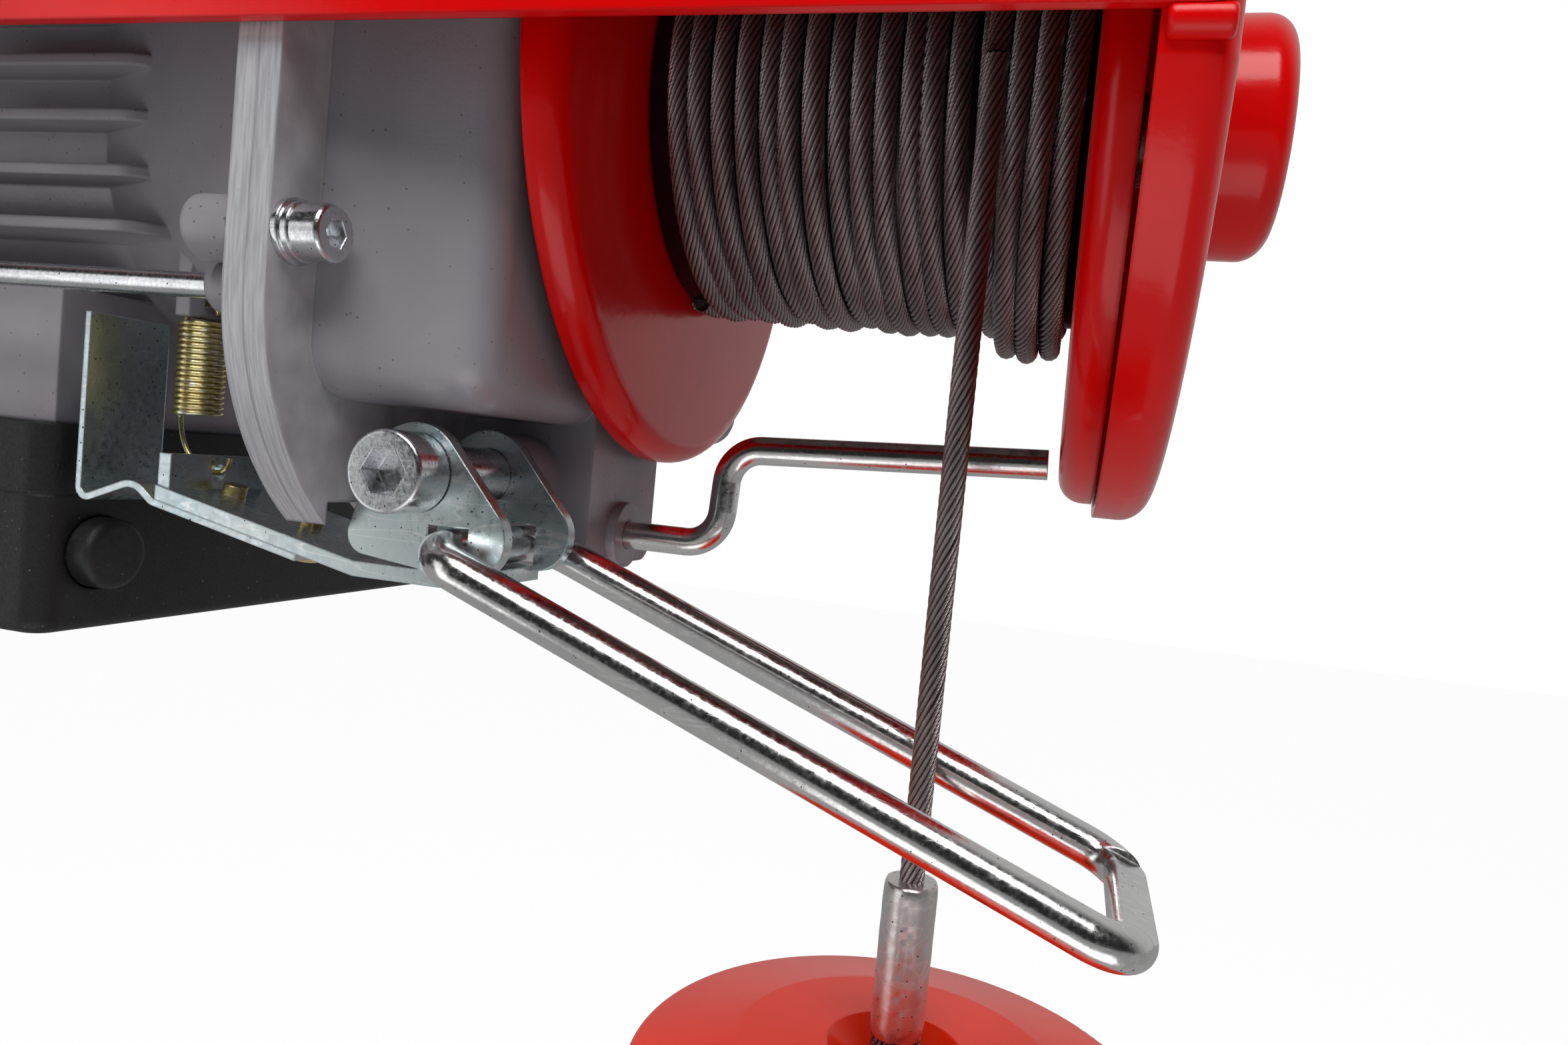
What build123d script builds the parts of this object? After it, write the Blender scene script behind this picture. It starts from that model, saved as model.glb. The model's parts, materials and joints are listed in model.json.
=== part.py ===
from build123d import *
import math
import os

# Electric wire rope hoist, about 400 kg class, in millimetres.
# The working frame has its X axis on the drum's axis, its YZ plane on the inner face of
# the drum's left flange, +X towards the end plate, -Y towards the rope and +Z up.
# place() moves each finished piece so that the origin is the beam seat on top of the frame.

# Rope and drum
rope_d = 4.0
rope_layers = 3
layer_step = rope_d * math.sqrt(3) / 2
barrel_r = 26.5
barrel_wall = 3.0
drum_length = 75.0
flange_r = 67.4
flange_depth = 6.2
flange_sheet = 2.0
flange_bend = 4.5
winding_r = barrel_r + rope_d + (rope_layers - 1) * layer_step
rope_x = drum_length - 15.4
top_layer_start = rope_x - 17.6
rope_y = -(winding_r + rope_d / 2 + 0.2)
rope_side_gap = 0.3

# Frame channel and end plate, both sized from the drum's flanges
frame_inner_half = flange_r + 12.6
frame_inner_top = flange_r + 7.6
frame_sheet = 2.0
frame_lip_z = -10.4
frame_bend = 6.0
frame_top = frame_inner_top + frame_sheet
plate_left = drum_length + flange_depth + 0.5
plate_depth = 9.3
plate_right = plate_left + plate_depth
plate_arc_r = frame_inner_half + 6.0
plate_bottom = -(flange_r + 2.4)
plate_sheet = 2.0
plate_bend = 5.0
frame_right = plate_right - 0.4
cap_r = 21.0
cap_right = plate_right + 15.5

# Rolling bearings: bore radius, outer radius, width
drum_bearing = (8.5, 17.5, 10.0)
rotor_bearing = (7.5, 16.0, 9.0)
bearing_fit = 0.05

# Gears: the second stage keeps the first stage's centre distance, as its shafts are in line
pressure_angle = 25.0
module_1 = 1.0
first_pinion_count = 12
first_wheel_count = 78
second_pinion_count = 12
second_wheel_count = 60
centre_distance = module_1 * (first_pinion_count + first_wheel_count) / 2
module_2 = 2 * centre_distance / (second_pinion_count + second_wheel_count)
tooth_thinning = 0.07
counter_z = -centre_distance
counter_angle = -90.0
counter_r = 6.0
bush_wall = 2.5
chamber_r = module_1 * (first_wheel_count / 2 + 1) + 1.5

# Gear case: its right face clears the drum's left flange, and the joint lies to its left
case_right = -flange_depth - 2.8
case_length = 31.0
joint_x = case_right - case_length
flange_plate = 3.75
joint_half_w = frame_inner_half - 0.6
joint_top = frame_inner_top - 5.0
joint_bottom = counter_z - chamber_r - 6.5
joint_low_r = 47.0
joint_high_r = 12.0
case_half_w = joint_half_w - 10.4
case_draft = 5.0
case_half_w_right = case_half_w - case_draft
case_top = joint_top - 4.0
case_floor = counter_z - 17.0
case_wall = 4.0
case_high_r = 18.0
bush_left = case_right - case_wall - 11.0
rod_boss_r = 6.5
bearing_boss_r = drum_bearing[1] + 5.0
motor_wall_x = joint_x - 18.0
gear_1_x = (joint_x - 12.0, joint_x - 4.0)
gear_2_x = (joint_x + 0.5, joint_x + 12.0)

# Motor housing: bell next to the joint, shell round the stator, foot above the control box
bell_length = 56.0
bell_left = joint_x - bell_length
bell_half_w = joint_half_w - 7.4
bell_top = joint_top - 8.0
bell_bottom = joint_bottom + 35.0
bell_wall = 6.0
bell_high_r = 36.0
bell_low_r = 38.0
shell_half = 52.0
shell_corner_r = 34.0
shell_length = 119.0
shell_left = bell_left - shell_length
shell_wall = 5.0
fin_half = shell_half + 7.0
fin_pitch = 9.4
fin_count = 8
fin_low_z = -35.5
fin_thick = 2.0
fin_right = bell_left + 18.0
foot_half = joint_half_w - 22.4
foot_right = bell_left - 2.0
foot_left = shell_left + 7.0
foot_wall = 4.0
pad_x = bell_left - 34.0
pad_half_l = 12.0
pad_half_w = 34.0
pad_bolt_y = 20.0

# Motor inside
stator_wall = 19.0
rotor_r = shell_half - shell_wall - stator_wall
air_gap = 0.35
winding_end = 14.0
stack_right = bell_left - winding_end - 15.0
stack_left = shell_left + winding_end + 16.0
shaft_r = rotor_bearing[0]
cover_left = shell_left - 11.0
brake_magnet_x = (cover_left - 13.0, cover_left)
armature_thick = 4.0
armature_gap = 0.8
fan_cover_left = cover_left - 46.0
fan_cover_r = shell_half + 5.0
fan_r = fan_cover_r - 7.0
fan_cover_wall = 1.5
fan_hub_r = 20.0
brake_r = 34.0
coil_r = 28.0
coil_bore_r = 18.0
shaft_left = fan_cover_left + 6.0

# Fasteners: shank radius, head radius, head height
m8_cap = (4.0, 6.5, 8.0)
m8_hex = (4.0, 7.5, 5.3)
m5_cap = (2.5, 4.25, 5.0)
m5_hole_r = 2.75
m8_hole_r = 4.5
washer_thick = 1.0
washer_r = 4.9
spring_washer_thick = 1.4
case_screw_places = [(side * y, z) for side in (-1, 1)
                     for y, z in ((joint_half_w - washer_r, -38.5), (joint_half_w - washer_r, 18.0),
                                  (joint_half_w - 7.9, joint_top - 7.5))]
case_screw_places.append((25.0, joint_bottom + 7.0))
tie_rod_r = 2.0
tie_places = [(side * (joint_half_w - 10.4), z) for side in (-1, 1) for z in (-46.3, 40.0)]
tie_boss_r = 4.2
tie_nut_r = 4.2

# Upper limit lever: its pivot lies under the gear chamber, its stirrup round the rope
pivot_x = joint_x + 17.0
pivot_z = counter_z - 27.4
pivot_clear = 0.06
pivot_thread = 12.5
pivot_boss_r = 7.75
lever_front = rope_y - 19.8
lever_rear = rope_y + 4.8
lever_sheet = 2.5
lever_tilt = 12.0
lever_fold_x = pivot_x - 10.0
lever_tab_x = lever_fold_x - 40.0
lever_screw_xs = (lever_tab_x + 5.5, lever_tab_x + 22.0)
lever_screw_r = 2.0
tab_height = 8.0
bracket_bore_r = 4.7
stirrup_d = 6.5
stirrup_flat = 4.2
stirrup_corner_r = 7.0
stirrup_hole_x = pivot_x + 6.8
stirrup_hole_z = pivot_z - 11.6
stirrup_near_y = rope_y - 26.4
stirrup_far_y = rope_y + 11.6
stirrup_end_x = plate_right + 1.0
stirrup_end_z = stirrup_hole_z - 41.0
leaf_x = lever_tab_x - 17.0
leaf_low = pivot_z - 11.6
leaf_high = -shell_half + 1.5
leaf_hump = 5.0
leaf_sheet = 1.2
leaf_width = 17.0
spring_x = lever_tab_x - 3.0
spring_y = rope_y - 8.4
spring_r = 4.2
spring_lug_drop = 4.7
spring_tab_gap = 6.85
joint_notch_z = pivot_z - 6.1

# Lower limit rod, in a lobe under the gear case
pivot_boss_front = lever_rear + 1.0
lobe_front = pivot_boss_front + 9.6
lobe_rear = lobe_front + 32.2
lobe_bottom = pivot_z - 16.0
rod_y = lobe_front + 15.2
rod_z = pivot_z - 10.0
rod_d = 5.5
rod_leg_x = 12.0
rod_rise = 19.9
rod_high_z = rod_z + rod_rise
rod_right = drum_length - 2.0
rod_left = pivot_x - 10.0
rod_bend_r = 7.0
cam_r = 3.8

# Control box
box_top = -shell_half - 18.4
box_right = bell_left
box_length = 112.0
box_left = box_right - box_length
box_half = 60.3
box_joint_z = box_top - 12.9
box_bottom = box_top - 38.2
box_wall = 3.0
box_corner_r = 5.0
gland_ys = (-30.0, 0.0)
gland_z = box_top - 25.6
plunger_r = 6.6
plunger_y = -box_half + 11.9
plunger_z = box_top - 23.5
plunger_out = 5.0
capacitor_r = 15.0
lid_pillar_r = 4.5

# Hangers on top
hanger_spacing = 150.0
frame_left = joint_x - 110.0
hanger_left_x = frame_left + 45.0
hanger_width = 30.0
hanger_sheet = 5.0
beam_size = 40.0
beam_play = 0.5
hanger_bolt_y = 36.0
mount_x = hanger_left_x + hanger_spacing / 2

# Hook set, with heights in the drum's frame at rest
ferrule_top = stirrup_end_z - 4.6
ferrule_len = 25.0
ferrule_r = 4.6
disc_top = ferrule_top - 27.4
disc_r = 43.0
disc_sheet = 3.0
disc_drop = 5.0
disc_well_r = 11.0
disc_hub_r = 14.0
disc_hole_r = 4.6
block_top = disc_top - 15.0
block_r = 19.0
block_len = 50.0
block_bottom = block_top - block_len
thimble_z = block_top - 15.0
thimble_r = 7.5
thimble_pin_r = 4.0
shank_r = 5.0
throat_r = 13.0
hook_width = 13.0
hook_thick = 11.0
hook_tip_d = 7.2
hook_sweep = 285.0
hook_section_count = 9
hook_centre_z = block_bottom - 34.0
latch_x = -1.5
latch_z = hook_centre_z + throat_r + 5.5
latch_pin_r = 1.6
latch_ear_r = 4.2
latch_sheet = 1.5
latch_gap = 0.7
latch_half = hook_width / 2 + latch_gap + latch_sheet
block_screw_x = 14.0
block_screw_z = block_bottom + 14.0
block_screw_seat = 8.0


def place(shape):
    """Moves a piece from the drum's frame to the frame whose origin is the beam seat."""
    return Pos(-mount_x, 0, -frame_top) * shape


def save(name, *shapes):
    """Writes one node; several shapes become a group of separate solids."""
    solids = [s for shape in shapes for s in place(shape).solids()]
    export_step(solids[0] if len(solids) == 1 else Compound(solids), f"parts/{name}.step")


def slab_x(sketch, x0, x1):
    """Extrudes a sketch drawn in (Y, Z) from x0 to x1."""
    return extrude(Plane.YZ.offset(x0) * sketch, x1 - x0)


def slab_y(sketch, y0, y1):
    """Extrudes a sketch drawn in (X, Z) from y0 to y1."""
    return extrude(Plane.XZ.offset(-y1) * sketch, y1 - y0)


def slab_z(sketch, z0, z1):
    """Extrudes a sketch drawn in (X, Y) from z0 to z1."""
    return extrude(Plane.XY.offset(z0) * sketch, z1 - z0)


def block(x0, x1, y0, y1, z0, z1):
    return Pos((x0 + x1) / 2, (y0 + y1) / 2, (z0 + z1) / 2) * Box(x1 - x0, y1 - y0, z1 - z0)


def rod_x_axis(r, x0, x1, y=0.0, z=0.0):
    return slab_x(Pos(y, z) * Circle(r), x0, x1)


def rod_y_axis(r, y0, y1, x, z):
    return slab_y(Pos(x, z) * Circle(r), y0, y1)


def rod_z_axis(r, z0, z1, x, y):
    return slab_z(Pos(x, y) * Circle(r), z0, z1)


def ring_x(r_out, r_in, x0, x1, y=0.0, z=0.0):
    return slab_x(Pos(y, z) * (Circle(r_out) - Circle(r_in)), x0, x1)


def round_corner(sketch, x, y, radius):
    """Rounds the sketch's corner nearest to (x, y)."""
    return fillet(sketch.vertices().sort_by_distance((x, y, 0))[0], radius)


def rounded_outline(half_w, top, bottom, r_high, r_low):
    """A rectangle in (Y, Z) whose upper and lower corners have their own radii."""
    shape = Pos(0, (top + bottom) / 2) * Rectangle(2 * half_w, top - bottom)
    for y, z, r in ((-half_w, bottom, r_low), (half_w, bottom, r_low),
                    (-half_w, top, r_high), (half_w, top, r_high)):
        shape = round_corner(shape, y, z, r)
    return shape


def socket_screw(shank_r, head_r, head_h, length, socket_r):
    """A socket head screw along X, its head's seat at X = 0 and its head on the +X side."""
    head = fillet(rod_x_axis(head_r, 0, head_h).edges().sort_by(Axis.X)[-1], 0.6)
    socket = slab_x(RegularPolygon(socket_r, 6), head_h * 0.45, head_h)
    return head - socket + rod_x_axis(shank_r, -length, 0)


def hex_bolt(shank_r, head_r, head_h, length):
    """A hexagon bolt along Z, its head's seat at Z = 0 and its head above."""
    head = slab_z(RegularPolygon(head_r, 6), 0, head_h)
    return head + rod_z_axis(shank_r, -length, 0, 0, 0)


def hex_nut_z(bore_r, head_r, height):
    """A hexagon nut along Z that hangs below Z = 0."""
    return slab_z(RegularPolygon(head_r, 6) - Circle(bore_r), -height, 0)


# Frame

def frame_channel():
    outer_half = frame_inner_half + frame_sheet
    height = frame_top - frame_lip_z
    outer = Pos(0, frame_lip_z + height / 2) * Rectangle(2 * outer_half, height)
    inner_height = frame_inner_top - frame_lip_z
    inner = Pos(0, frame_lip_z + inner_height / 2) * Rectangle(2 * frame_inner_half, inner_height)
    for side in (-1, 1):
        outer = round_corner(outer, side * outer_half, frame_top, frame_bend)
        inner = round_corner(inner, side * frame_inner_half, frame_inner_top, frame_bend - frame_sheet)
    channel = slab_x(outer - inner, frame_left, frame_right)
    corner = 4.0
    for x, sign in ((frame_left, 1), (frame_right, -1)):
        notch = Rectangle(2 * corner, 2 * corner) - Pos(sign * corner, corner) * Circle(corner)
        notch = notch & (Pos(sign * corner / 2, corner / 2) * Rectangle(corner, corner))
        channel -= slab_y(Pos(x, frame_lip_z) * notch, -outer_half, outer_half)
    for x, y in frame_holes():
        channel -= rod_z_axis(m8_hole_r, frame_inner_top, frame_top, x, y)
    return channel


def hanger_holes():
    return [(x, side * hanger_bolt_y) for x in (hanger_left_x, hanger_left_x + hanger_spacing)
            for side in (-1, 1)]


def body_bolt_places():
    """Where the frame's top is bolted down on the gear case and on the motor housing."""
    case_x = (joint_x + case_right) / 2
    case_y = case_half_w - 19.0
    return [(case_x, -case_y), (case_x, case_y), (pad_x, -pad_bolt_y), (pad_x, pad_bolt_y)]


def frame_holes():
    return hanger_holes() + body_bolt_places()


def plate_outline(inset=0.0):
    half = frame_inner_half - inset
    centre_z = plate_bottom + plate_arc_r
    top = frame_inner_top - inset
    lower = Pos(0, centre_z - plate_arc_r / 2) * Rectangle(2 * half, plate_arc_r)
    lower = lower & (Pos(0, centre_z) * Circle(plate_arc_r - inset))
    upper = Pos(0, (centre_z + top) / 2) * Rectangle(2 * half, top - centre_z)
    corner_r = max(frame_bend - frame_sheet + 0.4 - inset, 0.5)
    for side in (-1, 1):
        upper = round_corner(upper, side * half, top, corner_r)
    return lower + upper


def end_plate():
    """Pressed dish: flat outer face, rim turned towards the drum."""
    outer = slab_x(plate_outline(), plate_left, plate_right)
    outer = fillet(outer.faces().sort_by(Axis.X)[-1].edges(), plate_bend)
    inner = slab_x(plate_outline(plate_sheet), plate_left, plate_right - plate_sheet)
    inner = fillet(inner.faces().sort_by(Axis.X)[-1].edges(), plate_bend - plate_sheet)
    return outer - inner - rod_x_axis(drum_bearing[1] + bearing_fit, plate_left, plate_right)


def weld_beads():
    """Fillet welds that join the frame's lips to the end plate's rim."""
    beads = []
    for side in (-1, 1):
        y = side * frame_inner_half
        bead = Pos(plate_left + 4.4, y, frame_lip_z - 1.4) * Rot(0, 90, 0) * Cylinder(2.2, 7.6)
        bead = fillet(bead.edges(), 0.9)
        beads.append(bead - block(0, plate_right + 9, -frame_inner_half - 9, frame_inner_half + 9,
                                  frame_lip_z, 0) - slab_x(plate_outline(), 0, plate_right + 9))
    return beads


def bearing_cap():
    profile = Pos((plate_right + cap_right) / 2, cap_r / 2) * Rectangle(cap_right - plate_right, cap_r)
    profile = round_corner(profile, cap_right, cap_r, 5.0)
    depth = drum_bearing[2] + 0.6
    pocket = Pos(plate_right + depth / 2, (drum_bearing[1] + bearing_fit) / 2) \
        * Rectangle(depth, drum_bearing[1] + bearing_fit)
    return revolve(profile - pocket, Axis.X)


# Bearings

def bearing(x_left, size, fit=bearing_fit, balls=8):
    """A deep groove ball bearing: returns the outer ring with its balls, and the inner ring."""
    bore, outer, width = size
    pitch_r = (bore + outer) / 2
    ball_r = (outer - bore) * 0.27
    race = (outer - bore) * 0.22
    mid = x_left + width / 2
    groove = revolve(Pos(mid, pitch_r) * Circle(ball_r + 0.1), Axis.X)
    outer_ring = ring_x(outer, outer - race, x_left, x_left + width) - groove
    inner_ring = ring_x(bore + race, bore + fit, x_left, x_left + width) - groove
    ball_set = [Pos(mid, pitch_r * math.cos(a), pitch_r * math.sin(a)) * Sphere(ball_r)
                for a in (2 * math.pi * k / balls for k in range(balls))]
    return [outer_ring] + ball_set, inner_ring


# Gears

def gear_profile(module, teeth, first_tooth_angle):
    """Spur gear outline with involute flanks, one tooth centred on first_tooth_angle."""
    pitch_r = module * teeth / 2
    base_r = pitch_r * math.cos(math.radians(pressure_angle))
    root_r = pitch_r - 1.25 * module
    tip_r = pitch_r + module
    inv_pitch = math.tan(math.radians(pressure_angle)) - math.radians(pressure_angle)
    half_tooth = math.pi / (2 * teeth) - tooth_thinning / pitch_r
    low_r = max(base_r, root_r)
    flank = []
    for r in (root_r, low_r, (low_r + tip_r) / 2, tip_r) if root_r < low_r - 0.01 \
            else (root_r, (low_r + tip_r) / 2, tip_r):
        angle = math.acos(min(1.0, base_r / r))
        flank.append((r, half_tooth + inv_pitch - (math.tan(angle) - angle)))
    points = []
    for k in range(teeth):
        centre = math.radians(first_tooth_angle) + 2 * math.pi * k / teeth
        for r, half in flank:
            points.append((r * math.cos(centre - half), r * math.sin(centre - half)))
        for r, half in reversed(flank):
            points.append((r * math.cos(centre + half), r * math.sin(centre + half)))
    return make_face(Polyline(*points, close=True))


def motor_shaft():
    """Rotor shaft with the first pinion cut on its right end."""
    pinion = slab_x(gear_profile(module_1, first_pinion_count, counter_angle),
                    gear_1_x[0] - 1, gear_1_x[1] + 1)
    neck_r = module_1 * (first_pinion_count / 2 - 1.25)
    shaft = rod_x_axis(shaft_r, shaft_left, motor_wall_x + 3)
    return shaft + rod_x_axis(neck_r, motor_wall_x + 2, gear_1_x[0]) + pinion


def countershaft():
    """Intermediate shaft with the second pinion, turning in two bushes."""
    pinion = slab_x(gear_profile(module_2, second_pinion_count, counter_angle + 180),
                    gear_2_x[0] - 0.7, gear_2_x[1] + 0.7)
    shaft = rod_x_axis(counter_r, motor_wall_x - 6, gear_2_x[0] - 0.7)
    shaft += rod_x_axis(counter_r, gear_2_x[1] + 0.7, case_right - case_wall)
    return Pos(0, 0, counter_z) * (shaft + pinion)


def counter_bushes():
    """Plain bushes that carry the countershaft in both castings."""
    spans = ((motor_wall_x - 6, motor_wall_x + 4), (bush_left, case_right - case_wall - 0.5))
    return [ring_x(counter_r + bush_wall, counter_r + 0.03, x0, x1, 0, counter_z)
            for x0, x1 in spans]


def countershaft_gear():
    face = gear_profile(module_1, first_wheel_count, counter_angle + 180 + 180 / first_wheel_count)
    gear = slab_x(face - Circle(counter_r + bearing_fit), *gear_1_x)
    web_out = module_1 * (first_wheel_count / 2 - 5)
    dish = ring_x(web_out, counter_r + 7, gear_1_x[1] - 2, gear_1_x[1])
    return Pos(0, 0, counter_z) * (gear - dish)


def output_gear():
    face = gear_profile(module_2, second_wheel_count, counter_angle + 180 / second_wheel_count)
    gear = slab_x(face - Circle(drum_bearing[0] + bearing_fit), *gear_2_x)
    web_out = module_2 * (second_wheel_count / 2 - 4)
    dish = ring_x(web_out, drum_bearing[0] + 7, gear_2_x[0], gear_2_x[0] + 3)
    return gear - dish


def drum_shaft():
    left = gear_2_x[0]
    right = plate_right + drum_bearing[2]
    barrel_seat_r = drum_bearing[0] + 2.5
    shaft = rod_x_axis(drum_bearing[0], left, right)
    return shaft + rod_x_axis(barrel_seat_r, case_right + 0.5, plate_left + 1.0)


# Gear case and motor housing

def joint_outline():
    """Outline of the casting joint, notched under the lever's bar."""
    outline = rounded_outline(joint_half_w, joint_top, joint_bottom, joint_high_r, joint_low_r)
    notch_left = lever_front - 3
    notch_right = pivot_boss_front + 1.5
    depth = joint_notch_z - joint_bottom + 1
    notch = Pos((notch_left + notch_right) / 2, joint_notch_z - depth / 2) \
        * Rectangle(notch_right - notch_left, depth)
    return outline - notch


def case_body_section(half_w, inset=0.0):
    return rounded_outline(half_w - inset, case_top - inset, case_floor + inset,
                           case_high_r - inset / 2, 9.0)


def gear_case():
    """Right-hand casting: joint flange, main body, and the lobe that holds both limit pivots."""
    flange_right = joint_x + flange_plate
    flange = slab_x(joint_outline(), joint_x, flange_right)
    body = loft([Plane.YZ.offset(flange_right) * case_body_section(case_half_w),
                 Plane.YZ.offset(case_right) * case_body_section(case_half_w_right)])
    body = fillet(body.faces().sort_by(Axis.X)[-1].edges(), 6.0)
    lobe = block(flange_right, case_right, lobe_front, lobe_rear, lobe_bottom, case_floor + 9)
    lobe = fillet(lobe.edges().filter_by(Axis.X).group_by(Axis.Z)[0], 5.0)
    lobe += rod_y_axis(pivot_boss_r, pivot_boss_front, lobe_front + 2, pivot_x, pivot_z)
    case = flange + body + lobe
    case += rod_x_axis(rod_boss_r, case_right - 6, case_right + 2, rod_y, rod_z)
    cavity = slab_x(case_body_section(case_half_w_right, case_wall + 1),
                    joint_x, case_right - case_wall)
    case -= cavity
    case += ring_x(bearing_boss_r, drum_bearing[1] + bearing_fit,
                   gear_2_x[1] + 1.5, case_right - case_wall)
    case += rod_x_axis(counter_r + bush_wall + 4, bush_left, case_right - case_wall, 0, counter_z)
    for x, y in body_bolt_places()[:2]:
        case += block(x - 9, x + 9, y - 12, y + 12, case_top - case_wall, frame_inner_top)
        case -= rod_z_axis(m8_cap[0] + 0.1, frame_inner_top - 12, frame_inner_top, x, y)
    case -= rod_x_axis(drum_bearing[1] + bearing_fit, gear_2_x[1] + 1.5, case_right - 2.0)
    case -= rod_x_axis(drum_bearing[0] + 3.2, gear_2_x[1] - 5, case_right + 1)
    case -= rod_x_axis(counter_r + bush_wall, bush_left - 0.5, case_right - case_wall + 0.5,
                       0, counter_z)
    case -= block(rod_left - 2.5, pivot_x + 10, lobe_front + 8, lobe_rear - case_wall,
                  rod_z - cam_r - 0.4, case_floor - 3)
    case -= rod_x_axis(rod_d / 2 + pivot_clear, rod_left, case_right + 3, rod_y, rod_z)
    case -= rod_y_axis(m8_cap[0] + 0.05, pivot_boss_front, pivot_boss_front + pivot_thread,
                       pivot_x, pivot_z)
    for y, z in case_screw_places:
        case -= rod_x_axis(m5_hole_r, joint_x, flange_right, y, z)
    return case


def bell_section(inset=0.0):
    return rounded_outline(bell_half_w - inset, bell_top - inset, bell_bottom + inset,
                           bell_high_r - inset, bell_low_r - inset)


def shell_section(inset=0.0):
    return rounded_outline(shell_half - inset, shell_half - inset, inset - shell_half,
                           shell_corner_r - inset, shell_corner_r - inset)


def motor_housing():
    """Left-hand casting: joint flange, first gear chamber, flared bell and finned motor shell."""
    flange_left = joint_x - flange_plate
    bell_bore_r = min(bell_half_w, bell_top, -bell_bottom) - bell_wall
    housing = slab_x(joint_outline(), flange_left, joint_x)
    housing += loft([Plane.YZ.offset(bell_left) * shell_section(),
                     Plane.YZ.offset(flange_left) * bell_section()])
    housing += slab_x(shell_section(), shell_left, bell_left)
    housing += rod_x_axis(chamber_r + case_wall, motor_wall_x, flange_left, 0, counter_z)
    for k in range(fin_count):
        z = fin_low_z + k * fin_pitch
        fin = block(shell_left + 3, fin_right, -fin_half, fin_half, z - fin_thick / 2, z + fin_thick / 2)
        housing += fillet(fin.edges().filter_by(Axis.Z).group_by(Axis.X)[-1], 8.0)
    housing += housing_foot()
    housing += block(pad_x - pad_half_l, pad_x + pad_half_l, -pad_half_w, pad_half_w,
                     shell_half - 8, frame_inner_top)
    for y, z in case_screw_places:
        housing += rod_x_axis(5.0, flange_left - 8, flange_left, y, z)
    for y, z in tie_places:
        housing += rod_x_axis(tie_boss_r, flange_left - 9, flange_left, y, z)
    housing += spring_lug()
    housing -= slab_x(Circle(shell_half - shell_wall), shell_left, bell_left)
    housing -= loft([Plane.YZ.offset(bell_left) * Circle(shell_half - shell_wall),
                     Plane.YZ.offset(motor_wall_x - 10) * Circle(bell_bore_r)])
    housing -= rod_x_axis(chamber_r, motor_wall_x + 4, joint_x, 0, counter_z)
    housing -= rod_x_axis(module_1 * (first_pinion_count / 2 + 1) + 3, motor_wall_x + 4, joint_x)
    housing -= rod_x_axis(shaft_r + 1.0, motor_wall_x - 11, motor_wall_x + 4)
    housing -= rod_x_axis(rotor_bearing[1] + bearing_fit, motor_wall_x - 10, motor_wall_x)
    housing -= rod_x_axis(counter_r + bush_wall, motor_wall_x - 6.5, motor_wall_x + 5, 0, counter_z)
    for y, z in case_screw_places:
        housing -= rod_x_axis(m5_cap[0] + 0.05, flange_left - 6, joint_x, y, z)
    for y, z in tie_places:
        housing -= rod_x_axis(tie_rod_r + 0.05, bell_left, joint_x - 1, y, z)
    for x, y in body_bolt_places()[2:]:
        housing -= rod_z_axis(m8_cap[0] + 0.1, frame_inner_top - 12, frame_inner_top, x, y)
    return housing


def housing_foot():
    """Hollow foot that carries the control box, closed above by a thin ceiling."""
    foot = block(foot_left, foot_right, -foot_half, foot_half, box_top, -shell_half + 6)
    inner_half = foot_half - foot_wall
    return foot - block(foot_left + foot_wall, foot_right - foot_wall, -inner_half, inner_half,
                        box_top, -shell_half + 6 - foot_wall)


def bell_underside(x, y):
    """Height of the bell's lower surface at (x, y), between its two end sections."""
    share = (x - bell_left) / (joint_x - flange_plate - bell_left)
    half = shell_half + share * (bell_half_w - shell_half)
    bottom = -shell_half + share * (bell_bottom + shell_half)
    radius = shell_corner_r + share * (bell_low_r - shell_corner_r)
    beyond = max(abs(y) - (half - radius), 0)
    return bottom + radius - math.sqrt(radius ** 2 - beyond ** 2)


def spring_span():
    """Lower and upper end of the lever spring, between the bracket's tab and the bell's lug."""
    low = bar_z(lever_tab_x) + tab_height + spring_tab_gap
    return low, bell_underside(spring_x, spring_y) - spring_lug_drop


def spring_lug():
    """Small ear on the bell that takes the lever spring's upper hook."""
    top = spring_span()[1]
    ear = block(spring_x - 1.5, spring_x + 1.5, spring_y - 5, spring_y + 14, top + 0.3,
                top + spring_lug_drop + 15)
    return ear - rod_x_axis(1.6, spring_x - 2, spring_x + 2, spring_y, top + 3.0)


def motor_end_cover():
    cover = slab_x(shell_section(), cover_left, shell_left)
    for y, z in tie_places:
        arm = make_hull(Circle(shell_half - 22).edges() + (Pos(y, z) * Circle(tie_nut_r + 2.8)).edges())
        cover += slab_x(arm, shell_left - 7, shell_left)
        cover -= rod_x_axis(tie_rod_r + 0.2, cover_left, shell_left, y, z)
    cover -= rod_x_axis(rotor_bearing[1] + bearing_fit, shell_left - rotor_bearing[2], shell_left)
    cover -= rod_x_axis(shaft_r + 0.5, cover_left, shell_left)
    return cover


def fan_cover():
    """Pressed cup over the fan, with a ring of air slots in its end."""
    cup = rod_x_axis(fan_cover_r, fan_cover_left, cover_left)
    cup = fillet(cup.edges().sort_by(Axis.X)[0], 6.0)
    wall = fan_cover_wall
    hollow = rod_x_axis(fan_cover_r - wall, fan_cover_left + wall, cover_left)
    cup -= fillet(hollow.edges().sort_by(Axis.X)[0], 6.0 - wall)
    slot = slab_x(Pos(fan_cover_r / 2, 0) * SlotOverall(fan_cover_r - 27, 5),
                  fan_cover_left - 1, fan_cover_left + wall + 1)
    for k in range(12):
        cup -= Rot(30 * k, 0, 0) * slot
    return cup


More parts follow.
